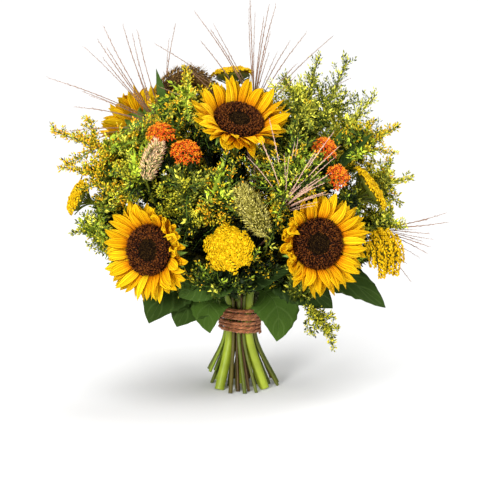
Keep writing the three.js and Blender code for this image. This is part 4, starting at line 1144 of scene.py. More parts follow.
def swept_tree() -> GrowthTree:
    """Sweeps a ribbed round section along lines, whose radius is their value thick.

    Returns:
        The tree.
    """
    t = GrowthTree("swept_stems", Int=["Sides"], Float=["Rib"])
    curve = t.add("GeometryNodeMeshToCurve", {"Mesh": t.given("Geometry")})
    curve = t.store(curve, "along", t.add("GeometryNodeSplineParameter", {}, "Factor"))
    ring = t.add("GeometryNodeCurvePrimitiveCircle", {"Resolution": t.given("Sides"), "Radius": MM}, "Curve")
    odd = t.calc("MODULO", t.add("GeometryNodeInputIndex"), 2.0)
    inward = t.calc("MULTIPLY", t.calc("MULTIPLY", odd, t.given("Rib")), -1.0)
    ribbed = t.add("GeometryNodeSetPosition", {
        "Geometry": ring, "Offset": t.vector("SCALE", t.add("GeometryNodeInputPosition"), scale=inward)})
    swept = t.add("GeometryNodeCurveToMesh", {
        "Curve": curve, "Profile Curve": ribbed, "Scale": t.value("thick"), "Fill Caps": True})
    swept = t.add("GeometryNodeSetShadeSmooth", {"Geometry": swept, "Shade Smooth": True})
    t.end(t.add("GeometryNodeRealizeInstances", {"Geometry": swept}))
    return t


def scatter_tree() -> GrowthTree:
    """Sets an element out along lines in a spiral.

    The lines' value reach is how far from the line it stands, in millimetres, and size scales it.

    Returns:
        The tree.
    """
    t = GrowthTree("set_along_stems", Object=["Element"], Int=["Seed"], Float=[
        "Spacing", "Lean", "Rise", "Disorder", "Inner Share", "Smallest", "Largest", "Tone Spread"])
    curve = t.add("GeometryNodeMeshToCurve", {"Mesh": t.given("Geometry")})
    points = t.add("GeometryNodeCurveToPoints", {"Curve": curve, "Length": t.given("Spacing")}, mode="LENGTH")
    tangent = next(s for s in points.node.outputs if s.name == "Tangent")
    normal = next(s for s in points.node.outputs if s.name == "Normal")
    turn = t.calc("MULTIPLY", t.add("GeometryNodeInputIndex"), GOLDEN)
    turn = t.calc("ADD", turn, t.calc("MULTIPLY", t.random(-3.0, 3.0, 1), t.given("Disorder")))
    out = t.add("ShaderNodeVectorRotate", {"Vector": normal, "Axis": tangent, "Angle": turn},
                rotation_type="AXIS_ANGLE")
    away = t.calc("MULTIPLY", t.value("reach"), t.random(t.given("Inner Share"), 1.0, 2))
    moved = t.add("GeometryNodeSetPosition", {
        "Geometry": points, "Offset": t.vector("SCALE", out, scale=t.calc("MULTIPLY", away, MM))})
    moved = t.store(moved, "tone", t.calc("ADD", t.value("tone"), t.random_tone()))
    way = t.vector("ADD", t.vector("SCALE", out, scale=t.calc("SUBTRACT", 1.0, t.given("Lean"))),
                   t.vector("SCALE", tangent, scale=t.given("Lean")))
    way = t.vector("ADD", way, t.add("ShaderNodeCombineXYZ", {"Z": t.given("Rise")}))
    way = t.vector("ADD", way, t.loose(4))
    size = t.calc("MULTIPLY", t.value("size"), t.random(t.given("Smallest"), t.given("Largest"), 5))
    t.set_out(moved, t.vector("NORMALIZE", way), tangent, size)
    return t


def dome_tree(name: str, outline: Sequence[tuple[float, float]]) -> GrowthTree:
    """Sets an element out over a round head in the spiral of a sunflower.

    Args:
        name: its name.
        outline: share of the radius and share of the height, from the middle to the rim.
    Returns:
        The tree. It keeps each element's share of the radius as the value reach.
    """
    t = GrowthTree(name, Object=["Element"], Int=["First", "Count", "Total", "Seed"], Float=[
        "Radius", "Height", "Tilt", "Disorder", "Lump", "Ragged", "Smallest", "Largest", "Tone Spread"])
    points = t.add("GeometryNodePoints", {"Count": t.given("Count")})
    number = t.calc("ADD", t.add("GeometryNodeInputIndex"), t.given("First"))
    share = t.calc("SQRT", t.calc("DIVIDE", t.calc("ADD", number, 0.5), t.given("Total")))
    angle = t.calc("MULTIPLY", number, GOLDEN)
    flat = t.add("ShaderNodeCombineXYZ", {"X": t.calc("COSINE", angle), "Y": t.calc("SINE", angle)})
    shape = t.add("ShaderNodeFloatCurve", {"Factor": 1.0, "Value": share})
    points_of = shape.node.mapping.curves[0].points
    points_of[0].location, points_of[1].location = outline[0], outline[-1]
    for spot in outline[1:-1]:
        points_of.new(*spot)
    shape.node.mapping.update()
    height = t.calc("MULTIPLY", shape, t.given("Height"))
    rim = t.add("ShaderNodeTexNoise", {"Vector": flat, "Scale": 1.9, "Detail": 2.0})
    rim = t.calc("MULTIPLY_ADD", t.calc("SUBTRACT", rim, 0.62), t.given("Ragged"), 1.0)
    out = t.calc("MULTIPLY", t.calc("MULTIPLY", share, rim), t.given("Radius"))
    spot = t.vector("SCALE", flat, scale=out)
    lumps = t.add("ShaderNodeTexNoise", {"Vector": spot, "Scale": 130.0, "Detail": 1.0})
    lump = t.calc("MULTIPLY", t.calc("SUBTRACT", lumps, 0.5), t.given("Lump"))
    spot = t.vector("ADD", spot, t.add("ShaderNodeCombineXYZ", {"Z": t.calc("ADD", height, lump)}))
    loose = t.loose(0)
    spot = t.vector("ADD", spot, t.vector("SCALE", loose, scale=MM))
    placed = t.add("GeometryNodeSetPosition", {"Geometry": points, "Position": spot})
    placed = t.store(placed, "reach", share)
    placed = t.store(placed, "tone", t.random_tone())
    tilt = t.calc("MULTIPLY", t.calc("POWER", share, 2.0), t.given("Tilt"))
    way = t.vector("ADD", t.vector("SCALE", flat, scale=tilt), (0.0, 0.0, 1.0))
    way = t.vector("NORMALIZE", t.vector("ADD", way, loose))
    side = t.add("ShaderNodeCombineXYZ", {"X": t.calc("SINE", angle), "Y": t.calc("COSINE", angle), "Z": 0.3})
    t.set_out(placed, way, side, t.random(t.given("Smallest"), t.given("Largest"), 5))
    return t


# Finishes

def colour(code: str) -> tuple[float, float, float, float]:
    """A hex colour as the linear one that shaders take."""
    parts = [int(code[k:k + 2], 16) / 255 for k in (1, 3, 5)]
    return (*[c / 12.92 if c <= 0.04045 else ((c + 0.055) / 1.055) ** 2.4 for c in parts], 1.0)


class ShaderPlan(NodePlan):
    """A shader tree that is put together by name: a group, or the tree of a material."""

    @classmethod
    def group(cls, name: str, inputs: Sequence[tuple[str, str, object]]) -> "ShaderPlan":
        """Starts a node group.

        Args:
            name: its name.
            inputs: name, kind and default of each input.
        Returns:
            The plan, whose source holds the inputs.
        """
        tree = bpy.data.node_groups.new(name, "ShaderNodeTree")
        for label, kind, default in inputs:
            socket = tree.interface.new_socket(label, in_out="INPUT", socket_type="NodeSocket" + kind)
            socket.default_value = default
        plan = cls(tree)
        plan.source = tree.nodes.new("NodeGroupInput")
        return plan

    def give(self, **outputs: Wire) -> bpy.types.NodeTree:
        """Ends a group with its named outputs.

        Args:
            outputs: a socket for each name.
        Returns:
            The group.
        """
        for label, wire in outputs.items():
            kind = "NodeSocketColor" if wire.type == "RGBA" else "NodeSocketFloat"
            self.tree.interface.new_socket(label, in_out="OUTPUT", socket_type=kind)
        result = self.tree.nodes.new("NodeGroupOutput")
        for label, wire in outputs.items():
            self.tree.links.new(wire, result.inputs[label])
        return self.tree

    def effect(self, group: bpy.types.NodeTree, output: str, **values: object) -> Wire:
        """Places a node group with its values, _ standing for a space.

        Args:
            group: the group.
            output: the name of the wanted output.
            values: a value or a socket for each input.
        Returns:
            The output socket.
        """
        node = self.tree.nodes.new("ShaderNodeGroup")
        node.node_tree = group
        for label, value in values.items():
            socket = node.inputs[label.replace("_", " ")]
            if isinstance(value, bpy.types.NodeSocket):
                self.tree.links.new(value, socket)
            else:
                socket.default_value = value
        return node.outputs[output]

    def ramp(self, factor: Wire, stops: Sequence[tuple[float, str]]) -> Wire:
        """Colours along a value.

        Args:
            factor: the value.
            stops: place and colour of each stop.
        Returns:
            The colour's socket.
        """
        wire = self.add("ShaderNodeValToRGB", {"Fac": factor}, "Color")
        row = wire.node.color_ramp.elements
        row[0].position, row[1].position = stops[0][0], stops[-1][0]
        row[0].color, row[1].color = colour(stops[0][1]), colour(stops[-1][1])
        for place, code in stops[1:-1]:
            row.new(place).color = colour(code)
        return wire

    def noise(self, scale: Wire, detail: float, stretch: Wire | None = None) -> Wire:
        """A soft pattern over the object.

        Args:
            scale: how fine it is.
            detail: how many finer layers it has.
            stretch: the factor for each axis.
        Returns:
            The pattern's socket.
        """
        spot = self.add("ShaderNodeTexCoord", {}, "Object")
        if stretch is not None:
            spot = self.vector("MULTIPLY", spot, stretch)
        return self.add("ShaderNodeTexNoise", {"Vector": spot, "Scale": scale, "Detail": detail})


def tone_spread_group() -> bpy.types.NodeTree:
    """Makes a colour differ from leaf to leaf, and from place to place on each, lighter and darker with the
    tone, which on the shoots and stems of the crown also carries painted light and shade.

    Returns:
        The node group.
    """
    p = ShaderPlan.group("tone_spread", [
        ("Base", "Color", (0.5, 0.5, 0.5, 1)), ("Tint", "Color", (0.5, 0.5, 0.5, 1)), ("Tone", "Float", 0.0),
        ("Spread", "Float", 0.2), ("Speckle", "Float", 0.1), ("Speckle Size", "Float", 300.0)])
    g = p.source.outputs
    warm = p.add("ShaderNodeMapRange", {"Value": g["Tone"], "From Min": -0.3, "From Max": 1.0}, "Result",
                 interpolation_type="SMOOTHSTEP")
    mixed = p.add("ShaderNodeMix", {"Factor": warm, "A": g["Base"], "B": g["Tint"]}, data_type="RGBA")
    patch = p.calc("SUBTRACT", p.noise(g["Speckle Size"], 2.0), 0.5)
    bright = p.calc("MULTIPLY_ADD", g["Tone"], g["Spread"], 1.0)
    bright = p.calc("ADD", bright, p.calc("MULTIPLY", p.calc("MULTIPLY", patch, 2.0), g["Speckle"]))
    bright = p.calc("MAXIMUM", bright, 0.15)
    return p.give(Color=p.add("ShaderNodeHueSaturation", {"Value": bright, "Color": mixed}))


def fine_relief_group() -> bpy.types.NodeTree:
    """Fine grain that runs along the object's height, as height and as a change of roughness.

    Returns:
        The node group.
    """
    p = ShaderPlan.group("fine_relief", [
        ("Size", "Float", 900.0), ("Along", "Float", 0.3), ("Rough", "Float", 0.55),
        ("Change", "Float", 0.15)])
    g = p.source.outputs
    grain = p.noise(g["Size"], 3.0, p.add("ShaderNodeCombineXYZ", {"X": 1.0, "Y": 1.0, "Z": g["Along"]}))
    rough = p.calc("MULTIPLY_ADD", p.calc("SUBTRACT", grain, 0.5), g["Change"], g["Rough"])
    return p.give(Height=grain, Roughness=rough)


def blade_veins_group() -> bpy.types.NodeTree:
    """Veins of a blade from its shares along and across: a midrib with side veins, or lengthwise lines.

    Returns:
        The node group.
    """
    p = ShaderPlan.group("blade_veins", [
        ("Pairs", "Float", 8.0), ("Slant", "Float", 2.5), ("Lines", "Float", 0.0), ("Rib", "Float", 0.07)])
    g = p.source.outputs
    along = p.add("ShaderNodeAttribute", {}, "Fac", attribute_name="along")
    across = p.add("ShaderNodeAttribute", {}, "Fac", attribute_name="across")
    off = p.calc("ABSOLUTE", across)
    rib = p.add("ShaderNodeMapRange", {"Value": off, "From Min": g["Rib"], "From Max": 0.0}, "Result")
    run = p.calc("SUBTRACT", p.calc("MULTIPLY", along, g["Pairs"]), p.calc("MULTIPLY", off, g["Slant"]))
    side = p.calc("ABSOLUTE", p.calc("SUBTRACT", p.calc("FRACT", run), 0.5))
    side = p.add("ShaderNodeMapRange", {"Value": side, "From Min": 0.16, "From Max": 0.0, "To Max": 0.6},
                 "Result")
    line = p.calc("FRACT", p.calc("MULTIPLY", p.calc("ADD", across, 1.0), g["Lines"]))
    line = p.calc("POWER", p.calc("MULTIPLY", p.calc("ABSOLUTE", p.calc("SUBTRACT", line, 0.5)), 2.0), 2.5)
    used = p.calc("GREATER_THAN", g["Lines"], 0.5)
    netted = p.calc("MAXIMUM", rib, p.calc("MULTIPLY", side, p.calc("SUBTRACT", 1.0, used)))
    return p.give(Mask=p.calc("MAXIMUM", netted, p.calc("MULTIPLY", line, used)))


@dataclass(frozen=True)
class Veins:
    """How a blade is veined: pairs of side veins, or lengthwise lines, and how strongly they show."""

    pairs: float = 8.0
    slant: float = 2.5
    lines: float = 0.0
    rib: float = 0.07
    code: str = "#8fb05a"
    strength: float = 0.5


@dataclass(frozen=True)
class Finish:
    """A plant's surface.

    ``stops`` are its colours along the value named by ``by``, ``tint`` is what they turn to in the
    pieces with a high tone, ``spread`` how much brighter those are, and ``speckle`` its unevenness.
    """

    name: str
    stops: tuple[tuple[float, str], ...]
    tint: str = ""
    lean: float = 0.5
    by: str = "along"
    spread: float = 0.22
    speckle: float = 0.14
    speckle_size: float = 260.0
    rough: float = 0.55
    grain: float = 900.0
    grain_along: float = 0.3
    relief: float = 0.25
    sheen: float = 0.0
    shine: float = 0.18
    veins: Veins | None = None

    def make(self, groups: dict[str, bpy.types.NodeTree]) -> bpy.types.Material:
        """Builds the material.

        Args:
            groups: the shader groups by name.
        Returns:
            The material.
        """
        made = bpy.data.materials.new(self.name)
        made.use_nodes = True
        plan = ShaderPlan(made.node_tree)
        surface = made.node_tree.nodes["Principled BSDF"]
        place = plan.add("ShaderNodeAttribute", {}, "Fac", attribute_name=self.by)
        if self.by == "tone":
            place = plan.calc("MULTIPLY_ADD", place, 0.5, 0.5)
        tone = plan.add("ShaderNodeAttribute", {}, "Fac", attribute_name="tone")
        base = plan.ramp(place, self.stops)
        tinted = plan.add("ShaderNodeMix", {"Factor": self.lean if self.tint else 0.0, "A": base,
                                            "B": colour(self.tint or "#808080")}, data_type="RGBA")
        painted = plan.effect(groups["tone_spread"], "Color", Base=base, Tint=tinted, Tone=tone,
                              Spread=self.spread, Speckle=self.speckle, Speckle_Size=self.speckle_size)
        height = plan.effect(groups["fine_relief"], "Height", Size=self.grain, Along=self.grain_along,
                             Rough=self.rough, Change=0.25)
        rough = height.node.outputs["Roughness"]
        if self.veins:
            v = self.veins
            mask = plan.effect(groups["blade_veins"], "Mask", Pairs=v.pairs, Slant=v.slant, Lines=v.lines,
                               Rib=v.rib)
            painted = plan.add("ShaderNodeMix", {"Factor": plan.calc("MULTIPLY", mask, v.strength),
                                                 "A": painted, "B": colour(v.code)}, data_type="RGBA")
            height = plan.calc("ADD", height, plan.calc("MULTIPLY", mask, -1.5))
        bump = plan.add("ShaderNodeBump", {"Strength": self.relief, "Distance": 0.0006, "Height": height})
        plan.tree.links.new(painted, surface.inputs["Base Color"])
        plan.tree.links.new(rough, surface.inputs["Roughness"])
        plan.tree.links.new(bump, surface.inputs["Normal"])
        surface.inputs["Specular IOR Level"].default_value = self.shine
        surface.inputs["Sheen Weight"].default_value = self.sheen
        return made


class Look(Enum):
    """The finishes of the bunch."""

    # The ray's foot is painted deeper orange: partly its own colour and partly painted shade where the rays
    # overlap round the disc.
    RAY = Finish("ray_floret", ((0, "#b45400"), (0.14, "#e68a00"), (0.34, "#fab400"), (0.7, "#ffc804"),
                                (1, "#ffd616")), "#ffdc1c", 0.6, spread=0.16, speckle=0.08, rough=0.7,
                 relief=0.9, shine=0.08, veins=Veins(lines=2.5, rib=0.03, code="#c86a00", strength=0.75))
    TUBE = Finish("open_disc_floret", ((0, "#0a0402"), (0.6, "#1e0c04"), (0.85, "#3c1a08"), (1, "#5c2c0e")),
                  "#7c4816", 0.5, spread=0.45, rough=0.8, shine=0.1)
    EYE = Finish("closed_disc_floret", ((0, "#040202"), (0.6, "#0f0905"), (1, "#2a1a0c")), "#45300f", 0.5,
                 spread=0.4, rough=0.9, shine=0.05)
    BED = Finish("disc_bed", ((0, "#120805"), (1, "#1d0d07")), rough=0.8)
    YARROW = Finish("yarrow_floret", ((0, "#5e580e"), (0.22, "#b88600"), (0.6, "#dcae04"), (1, "#f0c80a")),
                    "#ffdc24", 0.5, spread=0.22, rough=0.65, shine=0.08)
    YARROW_BED = Finish("yarrow_bed", ((0, "#55601a"), (1, "#6f6410")), rough=0.7)
    MILKWEED = Finish("milkweed_petal", ((0, "#b8340a"), (0.3, "#de560c"), (0.75, "#f08418"), (1, "#ffac24")),
                      by="tone", spread=0.14, rough=0.55)
    # The florets, buds and small leaves below take their tint and brightness from the tone, which on the
    # shoots of the crown carries painted shade within the bunch and painted light at its outside.
    GOLD = Finish("goldenrod_floret", ((0, "#8a8412"), (0.3, "#e6bc10"), (1, "#ffde30")), "#f09c14", 0.75,
                  spread=0.24, rough=0.6)
    BUD = Finish("green_bud", ((0, "#34430f"), (0.5, "#848c1e"), (1, "#d2ce34")), "#f0de38", 0.66,
                 spread=0.38, rough=0.6)
    SMALL_LEAF = Finish("small_leaf", ((0, "#111f08"), (0.5, "#1d2f0a"), (1, "#334911")), "#a2b62e", 0.95,
                        spread=0.5, rough=0.55, speckle=0.2, speckle_size=90)
    LIME = Finish("lime_leaf", ((0, "#22310c"), (0.5, "#3e4f13"), (1, "#65701e")), "#d2ce48", 0.95,
                  spread=0.45, rough=0.55)
    # A stem's colour follows its tone, which within the bunch is darkened as painted shade.
    STEM = Finish("stem_skin", ((0, "#4e3416"), (0.3, "#5a5418"), (0.5, "#5e7218"), (0.75, "#84981e"),
                                (1, "#a6b42e")), by="tone", spread=0.0, speckle=0.42, speckle_size=60,
                  rough=0.42, grain=1400, grain_along=0.04, relief=0.4, shine=0.35)
    SHOOT = Finish("shoot_skin", ((0, "#4a6a24"), (1, "#6f8f34")), "#93b04a", 0.7, spread=0.2, rough=0.5)
    LEAF = Finish("broad_leaf", ((0, "#2c420f"), (0.5, "#203409"), (1, "#283c0d")), "#48661c", 0.7,
                  spread=0.3, speckle=0.25, speckle_size=40, rough=0.8, relief=0.6,
                  veins=Veins(6, 1.6, 0, 0.022, "#6a8444", 0.3))
    FOXTAIL = Finish("foxtail_bristle", ((0, "#34340a"), (0.5, "#8c8420"), (1, "#d6c860")), "#ece08c", 0.55,
                     spread=0.4, rough=0.6)
    BROWN_FOXTAIL = Finish("brown_bristle", ((0, "#2a1a0c"), (0.5, "#5c401c"), (1, "#9a7438")), "#b08a42",
                           0.5, spread=0.35, rough=0.65)
    PINK = Finish("pink_bud", ((0, "#54701e"), (0.35, "#a4ae58"), (0.7, "#efcfa2"), (1, "#e08068")),
                  "#f4ac90", 0.45, spread=0.7, rough=0.6)
    WHIP = Finish("grass_whip", ((0, "#78623a"), (0.3, "#906a54"), (1, "#ac8870")), "#e4bca6", 0.95,
                  spread=0.12, rough=0.6)
    TWINE = Finish("jute", ((0, "#a4603a"), (0.5, "#b87248"), (1, "#a4603a")), "#cf9260", 0.6, spread=0.35,
                   speckle=0.35, speckle_size=420, rough=0.85, grain=2600, grain_along=0.5, relief=0.8,
                   sheen=0.2)


# The workshop

CROWN_CENTRE, CROWN_RADII = (0.0, -4.0, 208.0), (192.0, 112.0, 158.0)
INNER_LEAVES_FROM = 126.0


class Dome(Enum):
    """The round heads that florets are set out over, with their outlines."""

    DISC = ((0, 0.66), (0.2, 0.72), (0.42, 0.62), (0.6, 0.9), (0.78, 1.0), (0.92, 0.78), (1, 0.35))
    UMBEL = ((0, 1.0), (0.46, 0.94), (0.66, 0.83), (0.84, 0.62), (0.95, 0.42), (1, 0.2))
    BALL = ((0, 1.0), (0.35, 0.94), (0.6, 0.8), (0.8, 0.6), (0.94, 0.34), (1, 0.05))


@dataclass
class Workshop:
    """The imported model's place and nodes, and the trees, shapes and finishes that pieces are made with."""

    nodes: dict[str, bpy.types.Object]
    slots: dict[str, str]
    shift: Array
    swept: GrowthTree = field(default_factory=swept_tree)
    scatter: GrowthTree = field(default_factory=scatter_tree)
    domes: dict[Dome, GrowthTree] = field(default_factory=dict)
    shapes: dict[Element, bpy.types.Object] = field(default_factory=dict)
    finishes: dict[Look, bpy.types.Material] = field(default_factory=dict)
    triangles: int = 0

    def build(self) -> "Workshop":
        """Makes the trees, shapes and finishes.

        Returns:
            The workshop itself.
        """
        self.domes = {dome: dome_tree(dome.name.lower(), dome.value) for dome in Dome}
        for element, sheaf in element_shapes().items():
            shape = sheaf.mesh(element.value, np.zeros(3))
            shape.polygons.foreach_set("use_smooth", [element is not Element.GRAIN] * len(shape.polygons))
            for key in ("thick", "reach", "size"):
                shape.attributes.remove(shape.attributes[key])
            if element is not Element.MILKWEED:
                shape.attributes.remove(shape.attributes["tone"])
            self.shapes[element] = bpy.data.objects.new(element.value, shape)
        groups = {"tone_spread": tone_spread_group(), "fine_relief": fine_relief_group(),
                  "blade_veins": blade_veins_group()}
        self.finishes = {look: look.value.make(groups) for look in Look}
        return self

    def node_mesh(self, node: str) -> tuple[Array, list[set[int]]]:
        """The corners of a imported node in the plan, with the neighbours of each.

        Args:
            node: the node's name.
        Returns:
            The corners, and the numbers of the neighbours.
        """
        made = bmesh.new()
        made.from_mesh(self.nodes[node].data)
        bmesh.ops.remove_doubles(made, verts=made.verts, dist=1e-6)
        made.verts.index_update()
        points = np.array([v.co for v in made.verts])
        beside = [{e.other_vert(v).index for e in v.link_edges} for v in made.verts]
        made.free()
        return (points - self.shift) / MM, beside

    def branches(self, node: str, corners: int, tip: Sequence[float]) -> list[Array]:
        """The lines of a node's side branches: each from its face through its two rings to its tip.

        Args:
            node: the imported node.
            corners: how many corners a branch's rings have.
            tip: the end of the main stem, which isn't a branch.
        Returns:
            Four points for each branch.
        """
        points, beside = self.node_mesh(node)
        found = []
        for apex, around in enumerate(beside):
            if len(around) != corners or np.linalg.norm(points[apex] - np.asarray(tip)) < 1.5:
                continue
            rows, seen = [{apex}], {apex}
            for _ in range(3):
                ahead = set().union(*(beside[k] for k in rows[-1])) - seen
                rows.append(ahead)
                seen |= ahead
            if len(rows[1]) == len(rows[2]) == corners and len(rows[3]) >= corners:
                foot = points[list(rows[2])].mean(0) * 2 - points[list(rows[1])].mean(0)
                faced = sorted(rows[3], key=lambda k: float(np.linalg.norm(points[k] - foot)))[:corners]
                rings = (faced, rows[2], rows[1], {apex})
                found.append(np.array([points[list(ring)].mean(0) for ring in rings]))
        return found

    def solid(self, name: str, sheaf: Sheaf, look: Look) -> bpy.types.Mesh:
        """A mesh of its own faces.

        Args:
            name: the mesh's name.
            sheaf: the faces.
            look: its finish.
        Returns:
            The mesh.
        """
        made = sheaf.mesh(name, self.shift)
        made.materials.append(self.finishes[look])
        return made

    def sweep(self, name: str, sheaf: Sheaf, look: Look, sides: int = 8, rib: float = 0.0) -> bpy.types.Mesh:
        """Stems or threads along lines.

        Args:
            name: the mesh's name.
            sheaf: the lines.
            look: its finish.
            sides: how many sides the section has.
            rib: how deep its ribs are.
        Returns:
            The mesh, cut off at the floor.
        """
        made = self.swept.run(name, sheaf.mesh(name, self.shift), Sides=sides, Rib=rib,
                              Material=self.finishes[look])
        spots = np.empty(3 * len(made.vertices), np.float32)
        made.vertices.foreach_get("co", spots)
        spots[2::3] = np.maximum(spots[2::3], 0.0)
        made.vertices.foreach_set("co", spots)
        return made

    def strew(self, name: str, sheaf: Sheaf, element: Element, look: Look, spacing: float, seed: int,
              lean: float = 0.3, rise: float = 0.0, disorder: float = 0.2, inner: float = 0.4,
              size: tuple[float, float] = (0.8, 1.2), spread: float = 0.6) -> bpy.types.Mesh:
        """Sets an element out along lines.

        Args:
            name: the mesh's name.
            sheaf: the lines.
            element: what is set out.
            look: its finish.
            spacing: the distance between neighbours in millimetres.
            seed: the seed of everything random.
            lean: 0 stands square to the line and 1 lies along it.
            rise: how strongly it turns upwards.
            disorder: how far it strays.
            inner: the least share of the lines' reach.
            size: its smallest and largest scale.
            spread: how far its tone strays.
        Returns:
            The mesh.
        """
        return self.scatter.run(
            name, sheaf.mesh(name, self.shift), Element=self.shapes[element], Spacing=spacing * MM, Lean=lean,
            Rise=rise, Disorder=disorder, Inner_Share=inner, Smallest=size[0], Largest=size[1],
            Tone_Spread=spread, Seed=seed, Material=self.finishes[look])

    def inner(self, name: str, line: Array) -> bpy.types.Mesh:
        """The leaves that a stem bears within the bunch, where little light falls, darkened as painted shade.

        Args:
            name: the mesh's name.
            line: the stem's line.
        Returns:
            The mesh.
        """
        run = arc_shares(line)
        in_crown = (line[:, 2] > INNER_LEAVES_FROM) & (run < 0.88)
        hidden = Sheaf()
        if in_crown.sum() > 1:
            # The tone darkens them as painted shade, a little less towards the outside of the crown.
            hidden.add_line(line[in_crown], reach=1.5, size=1.0, tone=-0.7 + 0.5 * painted_shade_and_light(line[in_crown]))
        else:
            hidden.add_line(line[-2:], reach=1.5, size=0.1)
        return self.strew(name, hidden, Element.BLADE, Look.LEAF, 3.8, seed_of(name) + 9, lean=0.5, rise=0.1,
                          disorder=0.3, inner=0.8, size=(0.7, 1.25), spread=0.5)

    def crown(self, name: str, dome: Dome, element: Element, look: Look, at: Sequence[float],
              aim: Sequence[float], radius: float, height: float, numbers: tuple[int, int, int], seed: int,
              tilt: float, disorder: float, lump: float = 0.0, size: tuple[float, float] = (0.65, 1.0),
              spread: float = 0.9, ragged: float = 0.0) -> bpy.types.Mesh:
        """Sets an element out over a round head.

        Args:
            name: the mesh's name.
            dome: the head's outline.
            element: what is set out.
            look: its finish.
            at: the foot of the head in the plan.
            aim: the way the head looks.
            radius: its radius in millimetres.
            height: its height.
            numbers: first and last element of the spiral that are set, and how many would fill it.
            seed: the seed of everything random.
            tilt: how far the outer ones lean out.
            disorder: how far they stray.
            lump: how uneven the head is in millimetres.
            size: smallest and largest scale.
            spread: how far the tone strays.
            ragged: how uneven its rim is.
        Returns:
            The mesh.
        """
        made = self.domes[dome].run(
            name, bpy.data.meshes.new(name), Element=self.shapes[element], First=numbers[0],
            Count=numbers[1] - numbers[0], Total=numbers[2], Radius=radius * MM, Height=height * MM,
            Tilt=tilt, Disorder=disorder, Lump=lump * MM, Ragged=ragged, Smallest=size[0], Largest=size[1],
            Tone_Spread=spread, Seed=seed, Material=self.finishes[look])
        place = Matrix(turn_from_up(aim).tolist()).to_4x4()
        place.translation = Vector(np.asarray(at, float) * MM + self.shift)
        made.transform(place)
        return made

    def finish(self, name: str, meshes: Sequence[bpy.types.Mesh]) -> None:
        """Joins meshes to one piece that rides on the bunch.

        Args:
            name: the piece's name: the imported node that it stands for, or a green piece beside one.
            meshes: what it is made of.
        """
        parts = [put_in_scene("grown_" + name, made) for made in meshes if len(made.polygons)]
        piece = parts[0]
        if len(parts) > 1:
            with bpy.context.temp_override(active_object=piece, object=piece, selected_objects=parts,
                                           selected_editable_objects=parts):
                bpy.ops.object.join()
        piece.data.name = piece.name
        count = sum(len(p.vertices) - 2 for p in piece.data.polygons)
        self.triangles += count
        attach(piece, "root")
        if name in self.nodes:
            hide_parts(name)
        LOG.info("%s: %d triangles", name, count)


def painted_shade_and_light(points: Array) -> Array:
    """Painted light and shade for a leaf from where it stands: darker within the bunch, where shade falls,
    and lighter at its outside, where light falls.
    """
    out = np.linalg.norm((points - np.array(CROWN_CENTRE)) / np.array(CROWN_RADII), axis=1)
    return np.clip(4.2 * (out - 0.86), -1.7, 0.8)


def stem_tone_with_painted_shade(line: Array, tone: float) -> Array:
    """The tone of a stem along its line: its own below the tie, and within the bunch a darker tone as painted
    shade.
    """
    return tone + (-0.35 - tone) * np.clip((line[:, 2] - TIE_HEIGHT - 15) / 40, 0, 1)


def seed_of(name: str) -> int:
    """A fixed seed from a name."""
    return sum(ord(letter) * (k + 3) for k, letter in enumerate(name)) % 9973


# Leaves

BROAD_EDGE = ((0, 0.05), (0.1, 0.05), (0.16, 0.1), (0.24, 0.8), (0.34, 1.06), (0.45, 1.12), (0.6, 1.06),
              (0.75, 0.87), (0.88, 0.52), (0.96, 0.22), (1, 0.01))
NARROW_EDGE = ((0, 0.16), (0.15, 0.5), (0.3, 0.85), (0.48, 1.0), (0.65, 0.9), (0.82, 0.55), (0.94, 0.2),
               (1, 0.01))
NARROW_WIDTH = 25.0


@dataclass
class LeafBlade:
    """A leaf with its stalk: heart-shaped and toothed, or narrow and plain."""

    plan: LeafPlan
    stem: Stem
    tone: float
    rows: int = 27
    columns: int = 11
    teeth: float = 0.035

    def build(self, sheaf: Sheaf, corners: Array) -> None:
        """Adds it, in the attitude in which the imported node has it.

        Args:
            sheaf: the mesh it goes into.
            corners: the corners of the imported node.
        """
        foot = self.stem.at_height(self.plan.on)
        tip, face = np.array(self.plan.tip, float), unit(self.plan.face)
        across = unit(np.cross(tip - foot, face))
        ends = [tip + across * side + face * ahead for side, ahead in LEAF_ATTITUDES]
        best = int(np.argmin([gap_to(corners, end) for end in ends]))
        end, ahead = ends[best], LEAF_ATTITUDES[best][1]
        rise = np.array([0, 0, self.plan.arch]) + face * (self.plan.arch * 0.6 + ahead * 0.5)
        middle = foot + (end - foot) * 0.45 + rise + across * self.plan.sway
        t = np.linspace(0, 1, self.rows)
        centres = bezier([foot, middle, end], t)
        ways = unit_rows(np.gradient(centres, axis=0))
        sides = unit_rows(np.cross(ways, face))
        width, phase = self.plan.width, seed_of(self.stem.name) + self.plan.on
        narrow = width < NARROW_WIDTH
        edge = NARROW_EDGE if narrow else BROAD_EDGE
        halves = read_off(t, edge) * width / 2
        if not narrow:
            halves *= 1 + self.teeth * np.where(np.arange(self.rows) % 2 == 0, 1, -1) * (t > 0.2)

        def bulge(along: Array, side: Array) -> Array:
            """The cup, the folds between the side veins and the waves of the margin.

            Args:
                along: the shares of the length.
                side: the shares of the width.
            Returns:
                The heights over the flat blade.
            """
            body = read_off(along, edge)
            cup = 0.16 * width / 2 * np.abs(side) ** 1.3 * body
            fold = 0.02 * width * np.sin((along * 7 - np.abs(side) * 1.6) * 2 * math.pi) * np.abs(side) * body
            wave = 0.05 * width * np.sin(along * 9 + phase + np.sign(side)) * side ** 2 * body
            return cup + (wave if narrow else fold + wave)

        add_sheet(sheaf, centres, sides, np.cross(sides, ways), halves, bulge, 1.0, self.columns,
                  tone=self.tone)


